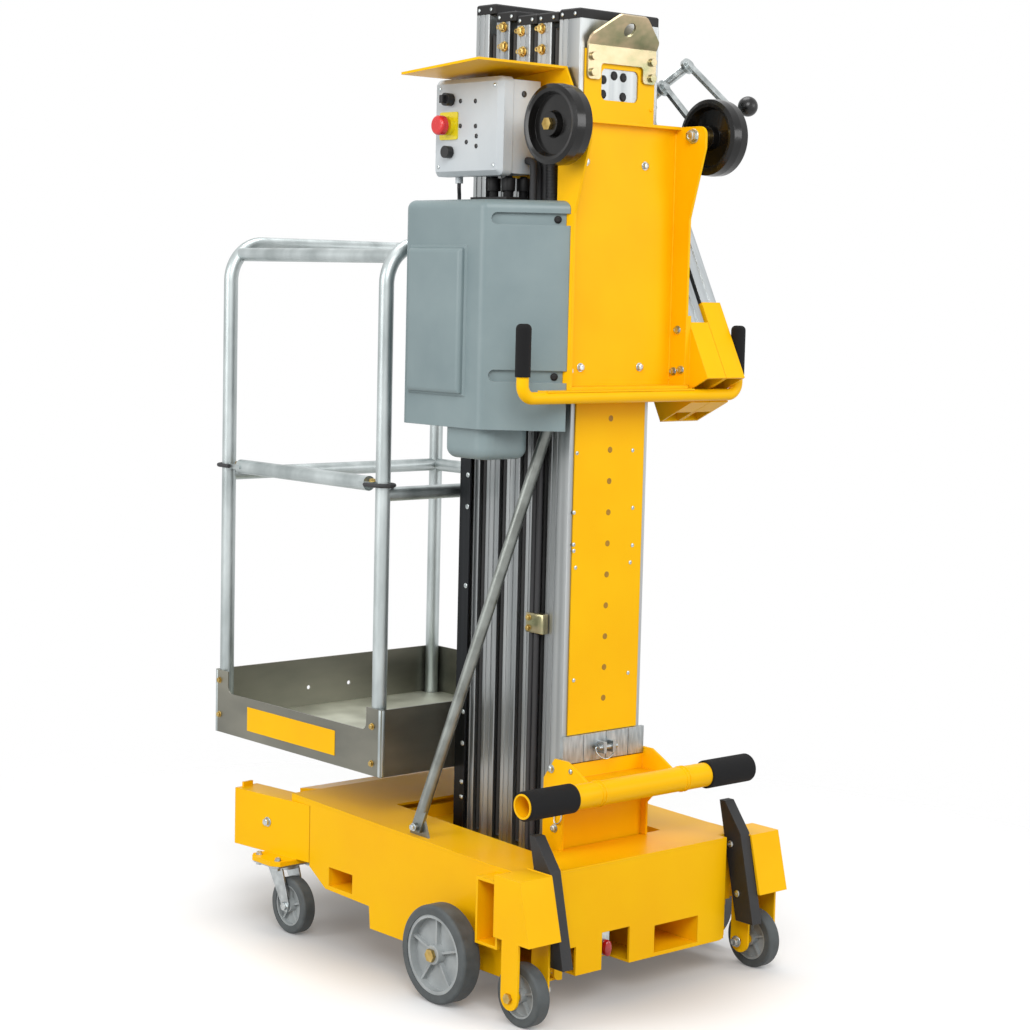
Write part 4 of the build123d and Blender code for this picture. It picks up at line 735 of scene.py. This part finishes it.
# Rear cover and upper frame: folded yellow sheet screwed over the fixed column, and the
# bent plate that carries the loading wheels, the push handle and the outrigger sockets.
paint(yellow, "rear_cover", "upper_frame", "push_handle", "stow_sockets")
paint(chromate, "lifting_eye")
COVER_Y, FRAME_Y, CHEEK_X = 343, 349, 159     # rear faces, and the frame's cheeks inside
row("base", "zinc_plated", zinc, hex_bolt(0.007, 0.005, 0.0015),
    frame_bolts=[(at(x, FRAME_Y, z), (0, 1, 0)) for x in (-71, 96) for z in (1292, 1706)]
    + both_sides([(at(CHEEK_X, y, z), (-1, 0, 0))
                  for y, z in ((371, 1370), (362, 1283), (384, 1287))]))
row("base", "zinc_plated", zinc, hex_bolt(0.012, 0.010, 0.002),
    loading_axle_nuts=both_sides([(at(CHEEK_X, 400, 1770), (-1, 0, 0))]))
row("base", "yellow_paint", yellow, dome_screw(0.0048, 0.002),
    cover_rivets=both_sides([(at(89, COVER_Y, z), (0, 1, 0)) for z in (1235, 1822)]))
row("base", "zinc_plated", zinc, dome_screw(0.0042, 0.0018),
    cover_screws=[(at(x, COVER_Y, z), (0, 1, 0)) for x, z in
                  ((93, 1117), (-65, 1118), (97, 995), (-70, 997), (96, 929), (95, 916),
                   (-72, 918), (89, 881), (-67, 882), (86, 646), (-70, 647))])

# thin discs of darkened yellow sit in the row of holes as painted shade, and black studs show in the
# window above
FIRST_HOLE, HOLE_STEP, HOLE_END = 601, 65, 1235
hole_shade_yellow = surface("hole_shade_yellow", tint(150, 108, 2), tint(172, 124, 6), rough=(0.5, 0.6),
                      mottle=(60, (1, 1, 1)), grain=(500, 0.1))
row("base", "yellow_paint", hole_shade_yellow, dome_screw(0.0064, 0.0006),
    cover_hole_plugs=[(at(0, COVER_Y + 0.1, z), (0, 1, 0))
                      for z in range(FIRST_HOLE, HOLE_END, HOLE_STEP)])
row("base", "black_plastic", cap_black, hex_bolt(0.0072, 0.0012, 0.0008),
    window_studs=[(at(x, MAST_REAR, z), (0, 1, 0)) for x, z in
                  ((15, 1883), (-11, 1881), (-11, 1842), (45, 1873), (45, 1844))])
weld_bead("frame_welds", [(at(side * 158, 350, 1266), at(side * 158, 350, 1776)) for side in (-1, 1)],
          0.0026, "base")

# Struts: galvanised steel tubes with pinched ends, bolted between the deck and the
# mast to steady it from both sides.
galvanised = surface("galvanised_steel", tint(116, 119, 115), tint(142, 146, 142), metal=1.0,
                     rough=(0.34, 0.5), mottle=(26, (1, 1, 1)), grain=(500, 0.12))
paint(galvanised, "struts")

# Stowed outriggers: aluminium legs standing in the leaning sockets, each with a zinc
# plated screw jack and a crank that ends in a black ball knob.
leg_aluminium = surface("outrigger_aluminium", tint(160, 166, 168), tint(206, 211, 213), metal=1.0,
                        rough=(0.3, 0.45), mottle=(36, (1, 0.2, 0.05)), grain=(700, 0.08),
                        soften=0.0008, worn=tint(240, 240, 240))
paint(leg_aluminium, "outrigger_beams")

# one finish for a jack, its screw and its crank, with black plastic where the knob is
jack_metal = surface("jack_plate", tint(160, 166, 166), tint(206, 212, 212), metal=1.0,
                     rough=(0.25, 0.4), mottle=(60, (1, 1, 1)), grain=(900, 0.05))
paint(jack_metal, "outrigger_jacks")


def lean_point(across, along):
    """Depth and height of a point of the outriggers, which lean forward by 27 degrees."""
    lean = radians(27)
    return across * cos(lean) - along * sin(lean), across * sin(lean) + along * cos(lean)


def below(tree, value, limit):
    """One where the value is under the limit, and nought elsewhere."""
    test = tree.nodes.new("ShaderNodeMath")
    test.operation = "LESS_THAN"
    test.inputs[1].default_value = limit
    tree.links.new(value, test.inputs[0])
    return test.outputs[0]


def recolour(tree, where, colour):
    """Gives a finish another colour in the part where the mask is one."""
    shader = tree.nodes["Principled BSDF"]
    blend = tree.nodes.new("ShaderNodeMix")
    blend.data_type = "RGBA"
    blend.inputs["B"].default_value = (*colour, 1)
    tree.links.new(where, blend.inputs["Factor"])
    tree.links.new(shader.inputs["Base Color"].links[0].from_socket, blend.inputs["A"])
    tree.links.new(blend.outputs["Result"], shader.inputs["Base Color"])


KNOB_REACH = 0.0222     # a little more than the radius of a knob
KNOBS = ((-280.0, 1117.0, 1422.5), (-356.0, 1164.0, 1478.5))     # x, across, along
tree = jack_metal.node_tree
knobs = tree.nodes.new("ShaderNodeMath")
knobs.operation = "MAXIMUM"
spot = tree.nodes.new("ShaderNodeTexCoord")
for which, (x, across, along) in enumerate(KNOBS):
    apart = tree.nodes.new("ShaderNodeVectorMath")
    apart.operation = "DISTANCE"
    apart.inputs[1].default_value = at(x, *lean_point(across, along))
    tree.links.new(spot.outputs["Object"], apart.inputs[0])
    tree.links.new(below(tree, apart.outputs["Value"], KNOB_REACH), knobs.inputs[which])
recolour(tree, knobs.outputs[0], tint(12, 12, 12))
bare = tree.nodes.new("ShaderNodeMath")
bare.operation = "SUBTRACT"
bare.inputs[0].default_value = 1.0
tree.links.new(knobs.outputs[0], bare.inputs[1])
tree.links.new(bare.outputs[0], tree.nodes["Principled BSDF"].inputs["Metallic"])

# rolled threads on the jack screws, between the collars
THREAD_R, THREAD_START, THREAD_STEP = 0.0102, 999.7, 0.0016
SCREWS = ((-201.0, 1085.0, 1552.5), (-258.0, 1120.0, 1590.5))     # x, end across, along
threads = []
for x, thread_end, along in SCREWS:
    start, end = (at(x, *lean_point(across, along)) for across in (THREAD_START, thread_end))
    turns = int((end - start).length / THREAD_STEP)
    threads.append(ringed_rod(start, end, THREAD_R, 16, turns, (1.0, 0.9)))
settle(join(threads), "jack_threads", zinc, "base")

# Loading wheels: black phenolic wheels on plated bolts, used to roll the laid-back
# machine into a truck.
phenolic = surface("black_phenolic", tint(9, 9, 9), tint(19, 18, 17), rough=(0.16, 0.28),
                   mottle=(22, (1, 1, 1)), grain=(300, 0.05), coat=0.15, soften=0.001,
                   shine=0.3, worn=tint(44, 43, 42))
paint(phenolic, "loading_wheel_left", "loading_wheel_right")

# Power unit: a moulded grey cover over the pump and tank, held by a bolt in each of its
# two channels. Its hoses come out at the top, behind the valves.
cover_grey = surface("grey_cover", tint(116, 133, 136), tint(130, 146, 148), rough=(0.34, 0.44),
                     mottle=(6, (1, 1, 1)), grain=(900, 0.16), soften=0.002, worn=tint(176, 188, 190))
paint(cover_grey, "power_cover")
slant = Vector((117, 130, 0)).normalized()
row("base", "black_plastic", cap_black, hex_bolt(0.006, 0.0045, 0.0015),
    cover_bolts=[(at(178.3, 361.6, z), slant) for z in (1274, 1587)])
HOSE_Z = POWER_TOP - 3      # the hoses start inside the cover
hose("suction_hose", [at(150, 311, HOSE_Z), at(150, 311, 1650), at(150, 311, 1676),
                      at(150, 309, 1700)], 0.0115, black_rubber, "base", ribs=0.003)
for name, x, y in (("pressure_hose", 152, 274), ("return_hose", 150, 291), ("relief_hose", 175, 282)):
    hose(name, [at(x, y, HOSE_Z), at(x, y, 1650), at(x, y, 1690), at(x, y - 2, 1704),
                at(x, 261, 1706)], 0.0078, black_rubber, "base")
hose("relief_rod", [at(140, 251, POWER_TOP + 1), at(140, 251, 1650), at(140, 251, BOX_BOTTOM)],
     0.0018, zinc, "base")

# a bevelled pad stands on the outer face of the cover
cover_pad = block(at(300, 132.5, 1380.5), (0.012, 0.169, 0.293))
pick(cover_pad, lambda middle, normal: normal.x > 0.9)
bpy.ops.mesh.inset(thickness=0.007, depth=0)
bpy.ops.transform.translate(value=(0.004, 0, 0))
deselect()
bevelled(cover_pad, 0.003, segments=3, angle=15)
settle(cover_pad, "cover_pad", cover_grey, "base", smooth=30)

# Solenoid valves: black coils on narrower stems, screwed into the valve block between
# the power unit and the control box.
STEM_R, STEM_H, COIL_R, COIL_H, NECK_R, NECK_H = 0.009, 0.018, 0.0135, 0.026, 0.0075, 0.003
VALVE_Z = POWER_TOP + 2     # the stems start inside the block
deselect()
bpy.ops.mesh.primitive_cylinder_add(vertices=24, radius=STEM_R, depth=STEM_H,
                                    location=(0, 0, STEM_H / 2))
coil = bpy.context.object
bpy.ops.object.transform_apply(location=True)
for rise, grow in ((0, COIL_R / STEM_R), (COIL_H, 1), (0.001, NECK_R / COIL_R), (NECK_H, 1)):
    pick(coil, lambda middle, normal: normal.z > 0.9 and middle.xy.length < 0.002)
    bpy.ops.mesh.extrude_region_move(TRANSFORM_OT_translate={"value": (0, 0, rise)})
    bpy.ops.transform.resize(value=(grow, grow, 1))
deselect()
bevelled(coil, 0.0006)
BLOCK_TOP = POWER_TOP + 7
block_end = [(150, POWER_TOP), (262, POWER_TOP), (262, BLOCK_TOP), (150, BLOCK_TOP)]
valves = [cut_plate(block_end, 129, 101)]
valves += [copied(coil, at(x, y, VALVE_Z), (0, 0, 1))
           for x, y in ((160, 185), (196, 185), (160, 234), (196, 230))]
bpy.data.objects.remove(coil)
valve_block = settle(join(valves), "valves", cap_black, "base", smooth=40)
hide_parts("pump_valves")

# Ground controls: a light grey cast box with a screwed lid under a bent yellow hood.
# The lid carries a selector, a knob and a few lamps.
LID_X = 250
box_grey = surface("light_grey_paint", tint(184, 191, 195), tint(197, 203, 206), rough=(0.3, 0.4),
                   mottle=(7, (1, 1, 1)), grain=(700, 0.14), soften=0.0015, worn=tint(210, 214, 216))
paint(box_grey, "control_box")
paint(yellow, "hood")
control_black = surface("control_black", tint(14, 14, 15), tint(24, 24, 25), rough=(0.3, 0.42),
                        mottle=(60, (1, 1, 1)), grain=(500, 0.1), soften=0.001, worn=tint(60, 60, 60))
paint(control_black, "controls")
row("base", "zinc_plated", zinc, dome_screw(0.0042, 0.002),
    lid_screws=[(at(LID_X, y, z), (1, 0, 0)) for y in (70, 243) for z in (1694, 1852)])
row("base", "black_plastic", control_black, dome_screw(0.0048, 0.0016),
    panel_lamps=[(at(LID_X, y, z), (1, 0, 0)) for y, z in
                 ((137, 1825), (184, 1823), (138, 1775), (186, 1773), (189, 1753), (158, 1742),
                  (189, 1733))])
row("base", "black_plastic", control_black, dome_screw(0.0065, 0.002),
    box_plugs=[(at(x, 257, 1838), (0, 1, 0)) for x in (184, 150)])
row("base", "yellow_paint", yellow, hex_bolt(0.006, 0.004, 0.0015),
    hood_bolts=[(at(121, y, 1850), (1, 0, 0)) for y in (275, 320)])

# Emergency stop: a red mushroom head on a yellow collar and square plate, on the lid
# of the control box between the selector and the knob.
COLLAR_END = 0.2625     # the head starts this far out
stop_red = surface("stop_red", tint(196, 24, 28), tint(222, 40, 42), rough=(0.22, 0.32),
                   mottle=(40, (1, 1, 1)), grain=(500, 0.04), coat=0.3)
paint(stop_red, "stop_button")
tree = stop_red.node_tree
spot = tree.nodes.new("ShaderNodeTexCoord")
axes = tree.nodes.new("ShaderNodeSeparateXYZ")
tree.links.new(spot.outputs["Object"], axes.inputs[0])
recolour(tree, below(tree, axes.outputs["X"], COLLAR_END), tint(226, 208, 22))

# Platform: aluminium floor and kick boards inside a tubular aluminium guard rail whose
# entry side has a rail that slides up on two coated rings.
rail_metal = surface("rail_aluminium", tint(156, 164, 164), tint(192, 199, 199), metal=1.0,
                     rough=(0.36, 0.5), mottle=(18, (1, 1, 0.4)), grain=(700, 0.1))
paint(rail_metal, "guard_rail", "entry_rail")
BOARD_X = 325     # outer faces of the kick boards
row("platform", "chromate_plated", gold, hex_bolt(0.0058, 0.004, 0.0012),
    post_bolts=both_sides([(at(BOARD_X, y, z), (1, 0, 0)) for y, top in ((-601, 531), (-24, 516))
                           for z in (top, top - 80)]))
row("entry_rail", "chromate_plated", gold, hex_bolt(0.0065, 0.0045, 0.0012),
    entry_bolts=[(at(306, y, 1034.3), (0, 0, 1)) for y in (-563, -62)])
paint(black_rubber, "rail_rings")
board_metal = surface("kick_board", tint(112, 112, 104), tint(142, 140, 128), metal=1.0,
                      rough=(0.34, 0.44), mottle=(3, (1, 1, 3)), grain=(900, 0.05),
                      soften=0.0008, worn=tint(200, 200, 196))
paint(board_metal, "toe_boards")

# rounded trims close the boards' corners, and a blank plate faces the left side
TRIM_R, TRIM_IN = 0.0075, 6.6
trims = []
for side, y, way in ((1, 7, 1), (-1, 7, 1), (1, -619, -1), (-1, -619, -1)):
    deselect()
    bpy.ops.mesh.primitive_cylinder_add(
        vertices=24, radius=TRIM_R, depth=0.144,
        location=at(side * (BOARD_X - TRIM_IN), y - way * TRIM_IN, 482.5))
    trim = bpy.context.object
    bevelled(trim, 0.0012, 2, 60)
    trims.append(trim)
settle(join(trims), "corner_trims", rail_metal, "platform", smooth=40)
blank_plate = block(at(BOARD_X + 0.4, -321, 458), (0.0016, 0.333, 0.055))
bevelled(blank_plate, 0.0005, 1)
settle(blank_plate, "blank_plate", yellow, "platform")
floor_metal = surface("platform_floor", tint(190, 192, 176), tint(214, 216, 200), metal=1.0,
                      rough=(0.38, 0.52), mottle=(10, (1, 1, 1)), grain=(600, 0.1))
paint(floor_metal, "platform_floor")
